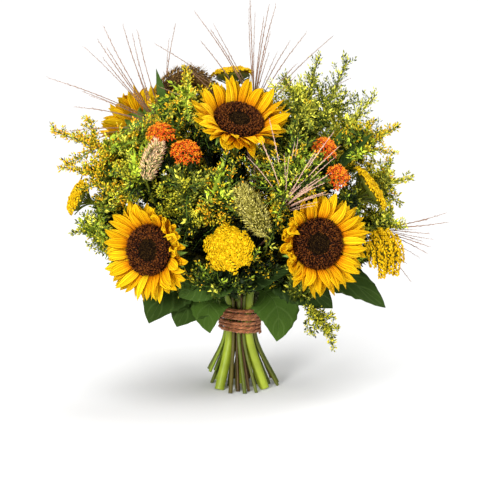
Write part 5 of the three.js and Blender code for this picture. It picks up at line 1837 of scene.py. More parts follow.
def leaf_blades(shop: Workshop, name: str, stem: Stem, leaves: Sequence[LeafPlan],
                tone_of: Callable[[int], float]) -> bpy.types.Mesh:
    """The leaves of a stem.

    Args:
        shop: the workshop.
        name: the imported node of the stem.
        stem: the stem.
        leaves: their plans.
        tone_of: the tone of each, from its number.
    Returns:
        The mesh.
    """
    sheaf = Sheaf()
    corners, _ = shop.node_mesh(name)
    for k, leaf in enumerate(leaves):
        LeafBlade(leaf, stem, tone_of(k)).build(sheaf, corners)
    return shop.solid(name, sheaf, Look.LEAF)


# Sunflowers

RAY_EDGE = ((0, 0.6), (0.1, 0.8), (0.3, 1), (0.5, 0.97), (0.7, 0.78), (0.85, 0.48), (0.95, 0.2), (1, 0.02))
BRACT_EDGE = ((0, 4.5), (0.3, 5.2), (0.6, 3.2), (1, 0.15))


@dataclass
class Sunflower:
    """A sunflower: disc florets, two whorls of ray florets, and the stem with its cup and leaves.

    ``curl`` bends the rays on one side of the head forward over the disc, at the angle ``curl_at``.
    ``cup`` is how far the rays of its near and of its far side rise, as angles.
    """

    plan: HeadPlan
    stem: Stem
    curl: float = 0.0
    curl_at: float = 0.0
    cup: tuple[float, float] = (0.14, 0.1)
    tone: float = 0.0
    disc_height: float = 9.0
    disc_florets: int = 1250
    closed_florets: int = 280
    ray_width: float = 13.2
    extra_rays: int = 44
    bracts: int = 22

    def build(self, shop: Workshop) -> None:
        """Makes its three pieces.

        Args:
            shop: the workshop that makes the pieces.
        """
        name = self.plan.name
        shop.finish(name + "_rays", self._rays(shop, name + "_rays"))
        shop.finish(name + "_disc", self._disc(shop, name + "_disc"))
        shop.finish(name + "_stem", self._green(shop, name + "_stem"))

    def _spot(self, angle: Array | float, radius: Array | float, height: Array | float) -> Array:
        """Spots given by angle, radius and height about the head.

        Args:
            angle: the angles.
            radius: the distances from the axis.
            height: the heights along it.
        Returns:
            The points in the plan.
        """
        turn = turn_from_up(self.plan.aim)
        angle, radius, height = np.broadcast_arrays(angle, radius, height)
        flat = np.stack([radius * np.cos(angle), radius * np.sin(angle), height], axis=-1)
        return flat @ turn.T + np.array(self.plan.at, float)

    def _whorls(self, corners: Array) -> list[tuple[float, float, float, float]]:
        """Angle, length, foot height and rise of each ray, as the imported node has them.

        Args:
            corners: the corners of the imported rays.
        Returns:
            One row for each ray.
        """
        draw = seeded(len(self.plan.name + "_rays") * 31 + 7)
        rays = []
        for odd, scale, lift, foot in ((1, 1.0, -1.0, -1.75), (0, 0.95, 4.5, 0.75)):
            for k in range(odd, 2 * RAY_COUNT, 2):
                length = RAY_LENGTH * (0.86 + 0.2 * draw()) * scale
                rise = lift + 3 * (draw() - 0.5)
                angle = math.pi * k / RAY_COUNT
                tips = [self._spot(angle, COLLAR_RADIUS + length, foot + (rise + more) * 0.6)
                        for more in RAY_LIFTS]
                gaps = [gap_to(corners, tip) for tip in tips]
                if min(gaps) < 1.5:
                    rays.append((angle, length, foot, rise + RAY_LIFTS[int(np.argmin(gaps))]))
        return rays

    def _rays(self, shop: Workshop, name: str) -> list[bpy.types.Mesh]:
        """The ray florets and the ring that they stand on.

        Args:
            shop: the workshop that makes the pieces.
            name: the piece's name.
        Returns:
            The meshes of the piece.
        """
        sheaf = Sheaf()
        draw = seeded(seed_of(self.plan.name))
        rays = self._whorls(shop.node_mesh(name)[0])
        for k in range(self.extra_rays):
            row = k % 3
            angle = 2 * math.pi * (k + 0.5 * draw()) / self.extra_rays
            lift = (-3.0, 2.0, 8.0)[row] + 5 * (draw() - 0.5)
            length = RAY_LENGTH * (1.04 - 0.1 * row) * (0.8 + 0.26 * draw())
            rays.append((angle, length, -1.0 + row, lift))
        for ray in rays:
            self._ray(sheaf, *ray, draw)
        collar = ((0, -3.6), (COLLAR_RADIUS - 4, -3.4), (COLLAR_RADIUS - 1.6, -2.2),
                  (COLLAR_RADIUS - 2.2, -0.6), (DISC_RADIUS - 1.6, -0.4), (0, -1.6))
        add_turned(sheaf, collar, 40, self.plan.at, self.plan.aim)
        return [shop.solid(name, sheaf, Look.RAY)]

    def _ray(self, sheaf: Sheaf, angle: float, length: float, foot: float, rise: float,
             draw: Callable[[], float]) -> None:
        """One ray floret: a claw, two lengthwise grooves, and a pointed tip that bends its own way.

        Args:
            sheaf: takes its faces.
            angle: where it stands.
            length: its length.
            foot: the height of its foot.
            rise: how far it lifts along its length.
            draw: the source of random numbers.
        """
        rows, columns = 9, 5
        t = np.linspace(0, 1, rows)
        near = max(0.0, math.cos(angle - self.curl_at)) ** 1.5 * self.curl * (0.4 + 0.6 * draw())
        length *= 0.96 + 0.1 * draw()
        sway, bend, twist = 0.3 * (draw() - 0.5), 12 * (draw() - 0.5), 1.9 * (draw() - 0.5) * (1 + near)
        far = 0.5 + 0.5 * math.sin(angle)
        cup = self.cup[0] + (self.cup[1] - self.cup[0]) * far
        run = (length + 4) * t * (1 - 1.25 * near * t ** 1.2)
        radius = COLLAR_RADIUS - 4 + run * math.cos(cup)
        height = (foot + 1.4 + run * math.sin(cup) + rise * np.sin(t * math.pi * 0.62) * 1.1 + bend * t ** 3
                  + near * 22 * t ** 1.5)
        around = angle + sway * t ** 2
        centres = self._spot(around, radius, height)
        ways = unit_rows(np.gradient(centres, axis=0))
        up = unit(self.plan.aim)
        faces = np.array([turned(up, way, twist * share) for way, share in zip(ways, t)])
        sides = unit_rows(np.cross(ways, faces))
        halves = read_off(t, RAY_EDGE) * self.ray_width / 2 * (0.72 + 0.42 * draw())
        hollow = 0.5 + 1.8 * draw()

        def bulge(along: Array, side: Array) -> Array:
            """The cupped floor with its two grooves."""
            body = np.sin(np.pi * np.clip(along, 0.05, 0.97))
            return hollow * side ** 2 * body - 0.35 * np.cos(side * 2 * math.pi) * body

        add_sheet(sheaf, centres, sides, np.cross(sides, ways), halves, bulge, 0.5, columns,
                  tone=2 * draw() - 1)

    def _disc(self, shop: Workshop, name: str) -> list[bpy.types.Mesh]:
        """The bed of the disc, its closed florets and the open ones round them.

        Args:
            shop: the workshop that makes the pieces.
            name: the piece's name.
        Returns:
            The meshes of the piece.
        """
        bed = Sheaf()
        rim, high, aim = DISC_RADIUS - 0.5, self.disc_height, self.plan.aim
        outline = [(0, -4.0), (rim - 5, -4.0), (rim - 1, 0.4)]
        outline += [(share * (rim - 1.5), rise * high - 1.6)
                    for share, rise in reversed(Dome.DISC.value[1:-1])]
        add_turned(bed, [*outline, (0, 0.66 * high - 1.6)], 40, self.plan.at, aim)
        foot = np.array(self.plan.at) - unit(aim) * 1.2
        first, total = self.closed_florets, self.disc_florets
        return [
            shop.solid(name, bed, Look.BED),
            shop.crown(name, Dome.DISC, Element.EYE, Look.EYE, foot, aim, rim - 1, high, (0, first, total),
                       seed_of(name), tilt=0.15, disorder=0.12, size=(0.75, 1.05)),
            shop.crown(name, Dome.DISC, Element.TUBE, Look.TUBE, foot - unit(aim) * 1.6, aim, rim - 1, high,
                       (first - 20, total, total), seed_of(name) + 1, tilt=0.65, disorder=0.22,
                       size=(0.7, 1.1), spread=1.0),
        ]

    def _green(self, shop: Workshop, name: str) -> list[bpy.types.Mesh]:
        """The stem, the cup with its bracts, and the leaves.

        Args:
            shop: the workshop that makes the pieces.
            name: the piece's name.
        Returns:
            The meshes of the piece.
        """
        up, at = unit(self.plan.aim), np.array(self.plan.at, float)
        lines = Sheaf()
        line = np.vstack([self.stem.whole(), [at - up * 10.0]])
        thick = np.interp(arc_shares(line), (0, 0.3, 1), (6.2, 6.2, 5.2)) * 0.985
        lines.add_line(line, thick=thick, tone=stem_tone_with_painted_shade(line, self.tone))
        cup = Sheaf()
        outline = ((0, -19.5), (6.4, -18.5), (14, -14), (22, -10), (26, -7.4), (24.5, -4.6), (0, -4.5))
        add_turned(cup, outline, 24, at, up, lambda a, k: 1 + 0.05 * math.sin(a * 11), tone=-0.3)
        draw = seeded(seed_of(name))
        for k in range(self.bracts):
            self._bract(cup, 2 * math.pi * (k + 0.3 * draw()) / self.bracts, 0.8 + 0.35 * draw(), k % 2)
        hairs = Sheaf()
        hairs.add_line(line[int(len(line) * 0.45):], reach=5.2, size=0.3)
        return [
            shop.sweep(name, lines, Look.STEM, 12, 0.05),
            shop.inner(name, line),
            shop.solid(name, cup, Look.SHOOT),
            leaf_blades(shop, name, self.stem, self.plan.leaves,
                        lambda k: 0.5 * math.sin(k * 2.7 + len(name))),
            shop.strew(name, hairs, Element.BRISTLE, Look.LIME, 0.55, seed_of(name), lean=0.1, inner=1.0),
        ]

    def _bract(self, sheaf: Sheaf, angle: float, size: float, row: int) -> None:
        """One pointed bract of the cup, bent back at its tip.

        Args:
            sheaf: takes its faces.
            angle: where it stands.
            size: its scale.
            row: 0 for the lower row and 1 for the upper one.
        """
        t = np.linspace(0, 1, 7)
        radius = 20 + 21 * t * size
        height = -9.5 + row * 1.4 + 5.5 * np.sin(t * 2.2) - 6.5 * t ** 2.4
        centres = self._spot(angle + 0.1 * t ** 2 * (1 - 2 * row), radius, height)
        ways = unit_rows(np.gradient(centres, axis=0))
        sides = unit_rows(np.cross(ways, unit(self.plan.aim)))
        add_sheet(sheaf, centres, sides, np.cross(sides, ways), read_off(t, BRACT_EDGE),
                  lambda a, s: 0.9 * s ** 2 * (1 - a), 0.7, 5, tone=0.3)


# Yarrow and milkweed

@dataclass
class Yarrow:
    """A yarrow: a flat umbel of tiny florets on forked branches, and its stem with feathery shoots."""

    plan: HeadPlan
    stem: Stem
    shoots: list[Array]
    height: float = 11.0
    florets: int = 640
    lump: float = 9.0
    twigs: int = 26
    ragged: float = 0.8
    fingers: int = 0

    def build(self, shop: Workshop) -> None:
        """Makes its two pieces.

        Args:
            shop: the workshop that makes the pieces.
        """
        name, at, up = self.plan.name, np.array(self.plan.at, float), unit(self.plan.aim)
        radius = self.plan.radius
        bed = Sheaf()
        outline = [(0, -2.6), (radius * 0.5, -2.6), (radius * 0.74, 0.6)]
        outline += [(s * radius * 0.8, h * self.height - 3.2) for s, h in reversed(Dome.UMBEL.value[1:-1])]
        add_turned(bed, [*outline, (0, self.height - 3.2)], 30, at, up,
                   lambda a, k: 1 + 0.05 * math.sin(a * 5 + 1) + 0.04 * math.sin(a * 3))
        heads = [shop.solid(name, bed, Look.YARROW_BED)]
        count = int(self.florets * (radius / 30) ** 2)
        if self.fingers:
            heads.append(self._fingers(shop, name, at, up))
        else:
            heads.append(shop.crown(name, Dome.UMBEL, Element.YARROW, Look.YARROW, at, up, radius * 1.04,
                                    self.height, (0, count, count), seed_of(name), tilt=0.95, disorder=0.3,
                                    lump=self.lump, ragged=self.ragged))
        shop.finish(name + "_head", heads)
        lines = Sheaf()
        line = self.stem.whole()
        lines.add_stem(line, YARROW_STEM, stem_tone_with_painted_shade(line, -0.15))
        fork = line[-1]
        for k in range(self.twigs):
            r = radius * 0.85 * math.sqrt((k + 0.5) / self.twigs)
            turn = turn_from_up(up)
            end = at + turn @ np.array([r * math.cos(k * GOLDEN), r * math.sin(k * GOLDEN), -1.5])
            low = fork - up * (6 - 12 * r / radius)
            bent = low + up * (np.dot(end - low, up) * 0.55) + (end - low) * 0.15
            lines.add_line(bezier([low, bent, end], np.linspace(0, 1, 6)), thick=0.7, tone=-0.2)
        green = [shop.sweep(name, lines, Look.STEM, 8, 0.06), shop.inner(name, line[:-1]),
                 *leafy(shop, name, self.shoots, 0.1)]
        shop.finish(name + "_stem", green)

    def _fingers(self, shop: Workshop, name: str, at: Array, up: Array) -> bpy.types.Mesh:
        """Florets in rows like fingers that run down over the head.

        Args:
            shop: the workshop that makes the pieces.
            name: the piece's name.
            at: the foot of the head.
            up: the way it looks.
        Returns:
            The mesh.
        """
        turn, radius = turn_from_up(up), self.plan.radius
        rows = Sheaf()
        t = np.linspace(-1, 1, 9)
        for k in range(self.fingers):
            off = radius * 0.8 * (2 * k / (self.fingers - 1) - 1)
            half = math.sqrt(radius ** 2 - off ** 2) * (0.95 + 0.1 * (k % 2))
            along = half * t + 3 * (k % 2)
            high = self.height * (1 - ((along ** 2 + off ** 2) / radius ** 2) * 0.75)
            flat = np.stack([along * 0.62 + off * 0.78, -along * 0.78 + off * 0.62, high - 2], axis=1)
            rows.add_line(flat @ turn.T + at, reach=5.6 * (1.05 - 0.3 * np.abs(t)), size=1.0)
        return shop.strew(name, rows, Element.YARROW, Look.YARROW, 0.21, seed_of(name), lean=0.1,
                          disorder=0.3, inner=0.8, size=(0.65, 1.0), spread=0.9)


@dataclass
class Milkweed:
    """A milkweed: one or two rounded umbels of crowned flowers on thin stalks, and its leafy stem."""

    plan: HeadPlan
    stem: Stem
    flowers: int = 40

    def build(self, shop: Workshop) -> None:
        """Makes its umbels and its stem.

        Args:
            shop: the workshop that makes the pieces.
        """
        name = self.plan.name
        umbels = [(name + "_umbel", self.plan.at, self.plan.aim, self.plan.radius)]
        lines = Sheaf()
        line = self.stem.whole()
        lines.add_stem(line, MILKWEED_STEM, stem_tone_with_painted_shade(line, -0.3))
        if self.plan.second:
            on, at, aim, radius = self.plan.second
            umbels.append((name + "_umbel_2", at, aim, radius))
            start = self.stem.at_height(on)
            end = np.array(at) - unit(aim) * radius * MILKWEED_FLATNESS
            bent = end - unit(aim) * 0.4 * np.linalg.norm(end - start)
            lines.add_line(bezier([start, bent, end], np.linspace(0, 1, 8)), thick=1.5, tone=-0.3)
        for umbel, at, aim, radius in umbels:
            self._umbel(shop, umbel, np.array(at, float), unit(aim), radius)
        shop.finish(name + "_stem", [
            shop.sweep(name, lines, Look.STEM, 8, 0.04),
            shop.inner(name, line),
            leaf_blades(shop, name + "_stem", self.stem, self.plan.leaves, lambda k: 0.3 - 0.5 * (k % 2)),
        ])

    def _umbel(self, shop: Workshop, name: str, at: Array, up: Array, radius: float) -> None:
        """One umbel: its flowers, and their stalks from the end of the stem.

        Args:
            shop: the workshop that makes the pieces.
            name: the piece's name.
            at: its middle in the plan.
            up: the way it looks.
            radius: its radius.
        """
        count = int(self.flowers * (radius / 18) ** 2)
        low = at - up * radius * MILKWEED_FLATNESS
        flowers = shop.crown(name, Dome.BALL, Element.MILKWEED, Look.MILKWEED, low + up * radius * 0.32,
                             up, radius * 0.98, radius * 0.92, (0, count, count), seed_of(name), tilt=1.3,
                             disorder=0.5, lump=11.0, size=(0.7, 1.15), spread=0.45, ragged=0.5)
        stalks = Sheaf()
        turn = turn_from_up(up)
        for k in range(count):
            share = math.sqrt((k + 0.5) / count)
            out, high = share * radius * 0.9, radius * (0.3 + 0.9 * read_off(share, Dome.BALL.value))
            end = low + turn @ np.array([out * math.cos(k * GOLDEN), out * math.sin(k * GOLDEN), high])
            stalk = bezier([low - up, low + up * radius * 0.4, end], np.linspace(0, 1, 5))
            stalks.add_line(stalk, thick=0.5, tone=0.1)
        shop.finish(name, [flowers, shop.sweep(name, stalks, Look.SHOOT, 5)])


# Sprays and leafy shoots

def twigs_of(line: Array, gap: float, reach: float, draw: Callable[[], float]) -> list[Array]:
    """Small straight twigs that leave a line all round.

    Args:
        line: the line.
        gap: the distance between twigs.
        reach: how long they are near its foot.
        draw: the source of random numbers.
    Returns:
        The lines of the twigs, two points each.
    """
    count = max(2, int(length_of(line) / gap))
    made = []
    for k in range(count):
        share = (k + 0.3 + 0.5 * draw()) / count
        foot = at_share(line, share)
        way = unit(at_share(line, min(1.0, share + 0.05)) - at_share(line, max(0.0, share - 0.05)))
        out = turned(unit(np.cross(way, [0.3, 0.2, 1.0])), way, k * GOLDEN + draw())
        far = reach * (0.55 + 0.6 * draw()) * (1.1 - 0.55 * share)
        made.append(np.array([foot, foot + (out * 0.8 + way * 0.6 + np.array([0, 0, 0.3])) * far]))
    return made


# Where the shoots of the near side are golden or green, and lighter or darker, partly as their own colour and
# partly as painted light and shade: x, z, radius, gold and tone.
PATCHES = (
    (-34, 236, 26, 0.95, 0.3), (-84, 226, 56, 0.08, -0.5), (-10, 285, 26, 0.6, 0.2), (50, 246, 30, 0.85, 0.2),
    (36, 190, 24, 0.8, 0.1), (108, 342, 32, 0.95, 0.5), (118, 374, 46, 0.0, 0.5), (160, 277, 44, 0.15, 0.5),
    (-182, 297, 44, 0.8, 0.1), (-150, 245, 40, 0.2, 0.0), (0, 150, 50, 0.3, -0.5), (-92, 322, 20, 0.9, 0.3),
    (-60, 280, 34, 0.1, -0.2), (-64, 374, 38, 0.75, -0.2),
)


def patch_at(tip: Array, gold: float) -> tuple[float, float]:
    """The share of golden shoots and the tone where a shoot ends, or its stem's own share; the tone is partly
    painted light and shade.

    Args:
        tip: where the shoot ends.
        gold: the stem's own share.
    Returns:
        The share and the tone.
    """
    if tip[1] < 20:
        for x, z, radius, share, tone in PATCHES:
            if math.hypot(tip[0] - x, tip[2] - z) < radius:
                return share, tone
    return gold, 0.0


def leafy(shop: Workshop, name: str, shoots: Sequence[Array], tone: float, look: Look = Look.SMALL_LEAF,
          gold: float = 0.3, warm: float = -0.4) -> list[bpy.types.Mesh]:
    """Side shoots with their small leaves, and florets or buds at the ends of their twigs.

    Args:
        shop: the workshop.
        name: the name of the piece they belong to.
        shoots: their lines.
        tone: how light they are.
        look: the finish of their leaves.
        gold: the share of shoots that flower.
        warm: the tone of their florets.
    Returns:
        Their twigs, leaves, buds and florets.
    """
    if not shoots:
        return []
    wood, dark, light, lime, buds, open_ones = (Sheaf() for _ in range(6))
    draw = seeded(seed_of(name) + 5)
    for line in shoots:
        share, patch = patch_at(line[-1], gold)
        # The patch's tone is partly painted light and shade, partly the shoot's own colour.
        mood = tone + patch + 0.9 * (draw() - 0.5)
        flowers, leaves = draw() < share, lime if draw() < 0.45 + 0.5 * patch else light
        run = arc_shares(line)
        wood.add_line(line[::2], thick=0.9 - 0.6 * run[::2], tone=mood)
        # The grains along the shoot itself are painted darker, as the shade within the foliage; they and the
        # leaves of the twigs take painted shade within the bunch and painted light at its outside, the buds
        # and florets half of it.
        dark.add_line(line, reach=0.8, size=np.interp(run, (0, 0.6, 1), (2.3, 1.6, 0.8)),
                      tone=mood + painted_shade_and_light(line) - 0.3)
        twigs = twigs_of(line, 7.0, 17.0, draw)
        for k, twig in enumerate(twigs):
            wood.add_line(twig, thick=0.3, tone=mood)
            ends = twig[0] + (twig[1] - twig[0]) * np.array([[0.15], [0.6], [1.0]])
            flowering = k > len(twigs) * 0.3 and draw() < 0.75
            bare = ends[:2] if flowering else ends
            leaves.add_line(bare, reach=0.7, size=1.0, tone=mood + painted_shade_and_light(bare) - 0.1)
            if flowering:
                (open_ones if flowers else buds).add_line(ends[1:], reach=1.5, size=1.0,
                                                          tone=warm + 0.5 * painted_shade_and_light(ends[1:]))
    seed = seed_of(name)
    made = [shop.sweep(name, wood, Look.SHOOT, 3),
            shop.strew(name, dark, Element.GRAIN, look, 2.1, seed, lean=0.4, rise=0.1, disorder=0.3,
                       inner=0.5, spread=0.4)]
    rest = ((light, Element.GRAIN, look, 1.1), (lime, Element.GRAIN, Look.LIME, 1.15),
            (open_ones, Element.BUD, Look.GOLD, 0.9), (buds, Element.BUD, Look.BUD, 1.25))
    for k, (sheaf, element, finish, spacing) in enumerate(rest, 1):
        if sheaf.count:
            made.append(shop.strew(name, sheaf, element, finish, spacing, seed + k, lean=0.38, rise=0.22,
                                   disorder=0.33, size=(0.65, 1.15), spread=1.2))
    return made


@dataclass
class Spray:
    """A flowering shoot: plumes of small florets or buds on arching branches, and leafy shoots below."""

    plan: SprayPlan
    stem: Stem
    shoots: list[Array]
    floret_gap: float = 0.95
    twig_length: float = 13.0

    def build(self, shop: Workshop) -> None:
        """Makes the plume and the green piece.

        Args:
            shop: the workshop that makes the pieces.
        """
        name, plan = self.plan.name, self.plan
        line = self.stem.whole()
        share = arc_shares(line)
        start = 1 - plan.length / length_of(line)
        branches = [smooth_line(b, 6.0) for b in shop.branches(name, 4, plan.tip)]
        stalks, florets, buds, leaves = Sheaf(), Sheaf(), Sheaf(), Sheaf()
        budding = plan.gold == 0.0
        stalks.add_line(line, thick=np.interp(share, (0, 0.6, 1), (2.2, 1.5, 0.7)),
                        tone=stem_tone_with_painted_shade(line, 0.9 * math.sin(seed_of(name))))
        draw = seeded(seed_of(name))
        for top in (line[share >= start], *branches):
            run = arc_shares(top)
            stalks.add_line(top, thick=1.0 - 0.5 * run, tone=0.2)
            far = 20.0 if budding else min(self.twig_length, plan.reach / 2)
            for twig in (top, *twigs_of(top, 4.0 if budding else 4.5, far, draw)):
                tone = 0.8 * (draw() - 0.5)
                stalks.add_line(twig, thick=0.3, tone=0.3)
                florets.add_line(twig, reach=2.0, size=1.0, tone=2 * plan.warm - 1.3 + tone)
                buds.add_line(twig, reach=2.0, size=1.0, tone=(0.1 if budding else 0.3) + tone)
                leaves.add_line(twig, reach=1.2, size=0.9, tone=tone + 0.2)
        seed, gap = seed_of(name), self.floret_gap
        if budding:
            made = [shop.strew(name, buds, Element.BUD, Look.LIME, gap * 2.6, seed, lean=0.5, rise=0.3,
                               disorder=0.4, inner=0.2, size=(0.5, 1.0), spread=1.1)]
        else:
            bloom = Look.GOLD if plan.gold > 0.45 else Look.LIME if plan.gold < 0.25 else Look.BUD
            made = [shop.strew(name, florets, Element.BUD, bloom, gap / plan.gold, seed, lean=0.35, rise=0.3,
                               disorder=0.35, inner=0.2, size=(0.7, 1.25), spread=0.9),
                    shop.strew(name, buds, Element.BUD, Look.BUD, gap / (1.1 - plan.gold), seed + 2, lean=0.5,
                               rise=0.2, disorder=0.35, inner=0.2, size=(0.6, 1.1), spread=0.9)]
        shop.finish(name, made)
        look = Look.LIME if plan.gold < 0.3 else Look.SMALL_LEAF
        below = line[(share > 0.34) & (share < start + 0.1)]
        shop.finish(name + "_green", [
            shop.sweep(name, stalks, Look.STEM, 4),
            shop.inner(name, line[share < start]),
            shop.strew(name, leaves, Element.GRAIN, look, 1.3 if budding else 2.6, seed + 4, lean=0.5,
                       rise=0.2, disorder=0.35, inner=0.2, size=(0.5, 1.0), spread=1.0),
            *leafy(shop, name + "_green", [below, *self.shoots], 0.3 if budding else 0.0, look,
                   plan.gold * 0.7, 2 * plan.warm - 1.3),
        ])


@dataclass
class LeafyStem:
    """A stem that bears leaves alone."""

    plan: HeadPlan
    stem: Stem
    shoots: list[Array]

    def build(self, shop: Workshop) -> None:
        """Makes the stem with its leaves and shoots.

        Args:
            shop: the workshop that makes the pieces.
        """
        name = self.plan.name
        lines = Sheaf()
        line = self.stem.whole()
        lines.add_stem(line, LEAFY_STEM, stem_tone_with_painted_shade(line, -0.5))
        shop.finish(name, [
            shop.sweep(name, lines, Look.STEM, 8, 0.06),
            shop.inner(name, line),
            leaf_blades(shop, name, self.stem, self.plan.leaves, lambda k: 0.6 * math.sin(k * 1.9 + 1)),
            *leafy(shop, name, self.shoots, 0.0),
        ])


# The way to the eye from the fullest side, and how far in front of a bloom a shoot may hide it.
SIGHT, IN_FRONT = (0.0, -0.985, 0.174), 160.0
# The share of a bloom's radius that stays in sight, on the near half of the bunch and on the far one.
NEAR_SIGHT, FAR_SIGHT = 0.87, 0.45

# Hollows behind the outer blooms that the shoots of the crown don't reach.
HOLLOWS = (
    (-30, -52, 300), (-42, -40, 284), (-24, -76, 268), (46, -72, 200), (32, -74, 168), (26, -66, 146),
    (-62, -84, 206), (44, -40, 292), (-88, -26, 326), (-100, -22, 316), (-24, 10, 302), (-100, -40, 236),
    (-78, -20, 256), (28, -30, 254), (70, -30, 256), (-16, 0, 312), (-16, -14, 294), (-110, -8, 240),
)


@dataclass
class Foliage:
    """The leafy side shoots that fill the bunch between its blooms, given to the stems that carry them.

    ``wrap`` is how far down the crown they reach, 2 being all round it, ``inmost`` how far out the
    innermost ones end, and ``band`` how much further out the outermost ones do. ``each`` is how many fill
    a hollow, and ``hollow_size`` how wide that is. A shoot starts at least ``inward`` further in than it
    ends, stays above ``lowest``, and leaves ``room`` free round a bloom.
    """

    bundle: Bundle
    count: int = 700
    wrap: float = 1.62
    inmost: float = 0.56
    band: float = 0.44
    each: int = 6
    hollow_size: float = 22.0
    longest: float = 110.0
    shortest: float = 26.0
    inward: float = 12.0
    lowest: float = 110.0
    room: float = 2.0
    seed: int = 4711

    def build(self) -> dict[str, list[Array]]:
        """Lays the shoots.

        Returns:
            The lines of the shoots by the name of their stem.
        """
        carriers = [s for n, s in self.bundle.stems.items()
                    if n.startswith(("goldenrod", "bud_shoot", "leafy", "yarrow"))]
        tracks = [(s, s.whole(8.0)) for s in carriers]
        given: dict[str, list[Array]] = {s.name: [] for s in carriers}
        draw = seeded(self.seed)
        centre, radii = np.array(CROWN_CENTRE), np.array(CROWN_RADII)
        for k in range(self.count):
            high = 1 - self.wrap * (k + 0.5) / self.count
            flat = math.sqrt(max(0.0, 1 - high * high))
            way = np.array([flat * math.cos(k * GOLDEN), flat * math.sin(k * GOLDEN), high])
            # The crown narrows downwards, more in its width than in its depth.
            narrow = np.array([1 + 0.4 * min(0.0, high), 1 + 0.2 * min(0.0, high), 1])
            far = self.inmost + self.band * math.sqrt(draw())
            line = self._shoot(tracks, centre, way, centre + way * radii * narrow * far, draw)
            if line is not None and (line[:, 2] + 0.2 * np.minimum(line[:, 1], 0)).min() > self.lowest:
                given[line_owner(tracks, line)].append(line)
        for hollow in HOLLOWS:
            for _ in range(self.each):
                off = np.array([draw() - 0.5, draw() - 0.5, draw() - 0.5]) * self.hollow_size
                target = np.array(hollow) + off
                line = self._shoot(tracks, centre, unit(target - centre), target, draw)
                if line is not None:
                    given[line_owner(tracks, line)].append(line)
        return given

    def _shoot(self, tracks: list[tuple[Stem, Array]], centre: Array, way: Array, target: Array,
               draw: Callable[[], float]) -> Array | None:
        """A shoot from the nearest stem point that lies further in, or nothing where it hides a bloom.

        Args:
            tracks: the stems that may carry it, with their lines.
            centre: the middle of the crown.
            way: the way it grows.
            target: where it ends.
            draw: the source of random numbers.
        Returns:
            Its line, or nothing.
        """
        best, start, along = self.longest, None, None
        for _, line in tracks:
            deep = (line - centre) @ way
            gap = np.linalg.norm(line - target, axis=1)
            gap[(line[:, 2] < BUNDLE_TOP + 6) | (gap < self.shortest)] = math.inf
            gap[deep > (target - centre) @ way - self.inward] = math.inf
            gap[-2:] = math.inf
            k = int(np.argmin(gap))
            if gap[k] < best:
                best, start, along = float(gap[k]), line[k], unit(line[k + 1] - line[k])
        if start is None:
            return None
        bent = start + along * best * (0.3 + 0.25 * draw()) + way * best * 0.15
        line = bezier([start, bent, target], np.linspace(0, 1, 9))
        return None if blocked(line[1:], self.room).any() else line


def line_owner(tracks: Sequence[tuple[Stem, Array]], line: Array) -> str:
    """The name of the stem that a shoot starts on."""
    return min(tracks, key=lambda track: gap_to(track[1], line[0]))[0].name


def blocked(points: Array, margin: float) -> Array:
    """Which points stand in front of a bloom, from its own side or from the fullest side.

    Args:
        points: the points in the plan.
        margin: how far round a bloom is kept free.
    Returns:
        Whether each point is.
    """
    taken = np.zeros(len(points), bool)
    blooms = [(p.at, p.aim, DISC_RADIUS + RAY_LENGTH - 4, 6.0) for p in SUNFLOWERS]
    blooms += [(p.at, p.aim, p.radius, 0.0) for p in (*YARROWS, *MILKWEEDS)]
    blooms += [(*p.second[1:], 0.0) for p in MILKWEEDS if p.second]
    for at, aim, radius, back in blooms:
        seen = NEAR_SIGHT if at[1] < 0 else FAR_SIGHT
        for way, wide, near in ((unit(aim), radius + margin, -back), (unit(SIGHT), radius * seen, 2.0)):
            # Only the upper part of a far bloom shows over the others, and at the left its left part.
            lifted = 0.4 * radius if near > 0 and at[1] > 0 else 0.0
            away = points - np.array(at, float) - np.array([-1.5 * lifted if at[0] < -50 else 0.0, 0, lifted])
            deep = away @ way
            off = away - deep[:, None] * way
            if near > 0:
                # The more a bloom looks up, the less of its lower half shows.
                off[:, 2] *= np.where(off[:, 2] < 0, 1.3 / abs(unit(aim) @ way) - 0.3, 1.0)
            flat = np.linalg.norm(off, axis=1)
            taken |= (deep > near) & (deep < IN_FRONT) & (flat < wide)
    return taken


# Seed heads and grasses

@dataclass
class SeedSpike:
    """A bristly seed head along its bent axis, and its stem.

    ``bristle`` and ``grain`` are the sizes of its bristles and of its seeds, whose shape is ``seed``.
    """

    plan: SpikePlan
    stem: Stem
    look: Look
    bristle: float
    bristle_gap: float
    grain: float
    grain_gap: float
    seed: Element = Element.BUD
    core: float = 0.62
    tone: float = 0.0

    def build(self, shop: Workshop) -> None:
        """Makes the head with its stem as one piece.

        Args:
            shop: the workshop that makes the pieces.
        """
        name = self.plan.name
        axis = smooth_line([np.array(p, float) for p in self.plan.axis], 3.0)
        run = arc_shares(axis)
        body = np.sin(np.pi * (0.06 + 0.88 * run)) ** 0.6 * self.plan.radius
        core, seeds, bristles, stalk = Sheaf(), Sheaf(), Sheaf(), Sheaf()
        core.add_line(axis, thick=body * self.core, tone=-0.6)
        seeds.add_line(axis, reach=body * 0.84, size=1.0, tone=-0.1)
        bristles.add_line(axis, reach=body * 0.85, size=np.interp(body / self.plan.radius, (0, 1), (0.6, 1)),
                          tone=self.tone)
        stalk.add_stem(np.vstack([self.stem.whole(), axis[2:4]]), (2.2, 1.3), -0.2)
        shop.finish(name, [
            shop.sweep(name, core, self.look, 10),
            shop.strew(name, seeds, self.seed, self.look, self.grain_gap, seed_of(name), lean=0.4, rise=0.15,
                       disorder=0.3, inner=0.7, size=(self.grain * 0.75, self.grain * 1.3), spread=1.0),
            shop.strew(name, bristles, Element.BRISTLE, self.look, self.bristle_gap, seed_of(name) + 1,
                       lean=0.45, disorder=0.35, inner=0.7, size=(self.bristle * 0.75, self.bristle * 1.2),
                       spread=0.9),
            shop.sweep(name, stalk, Look.STEM, 8, 0.05),
        ])


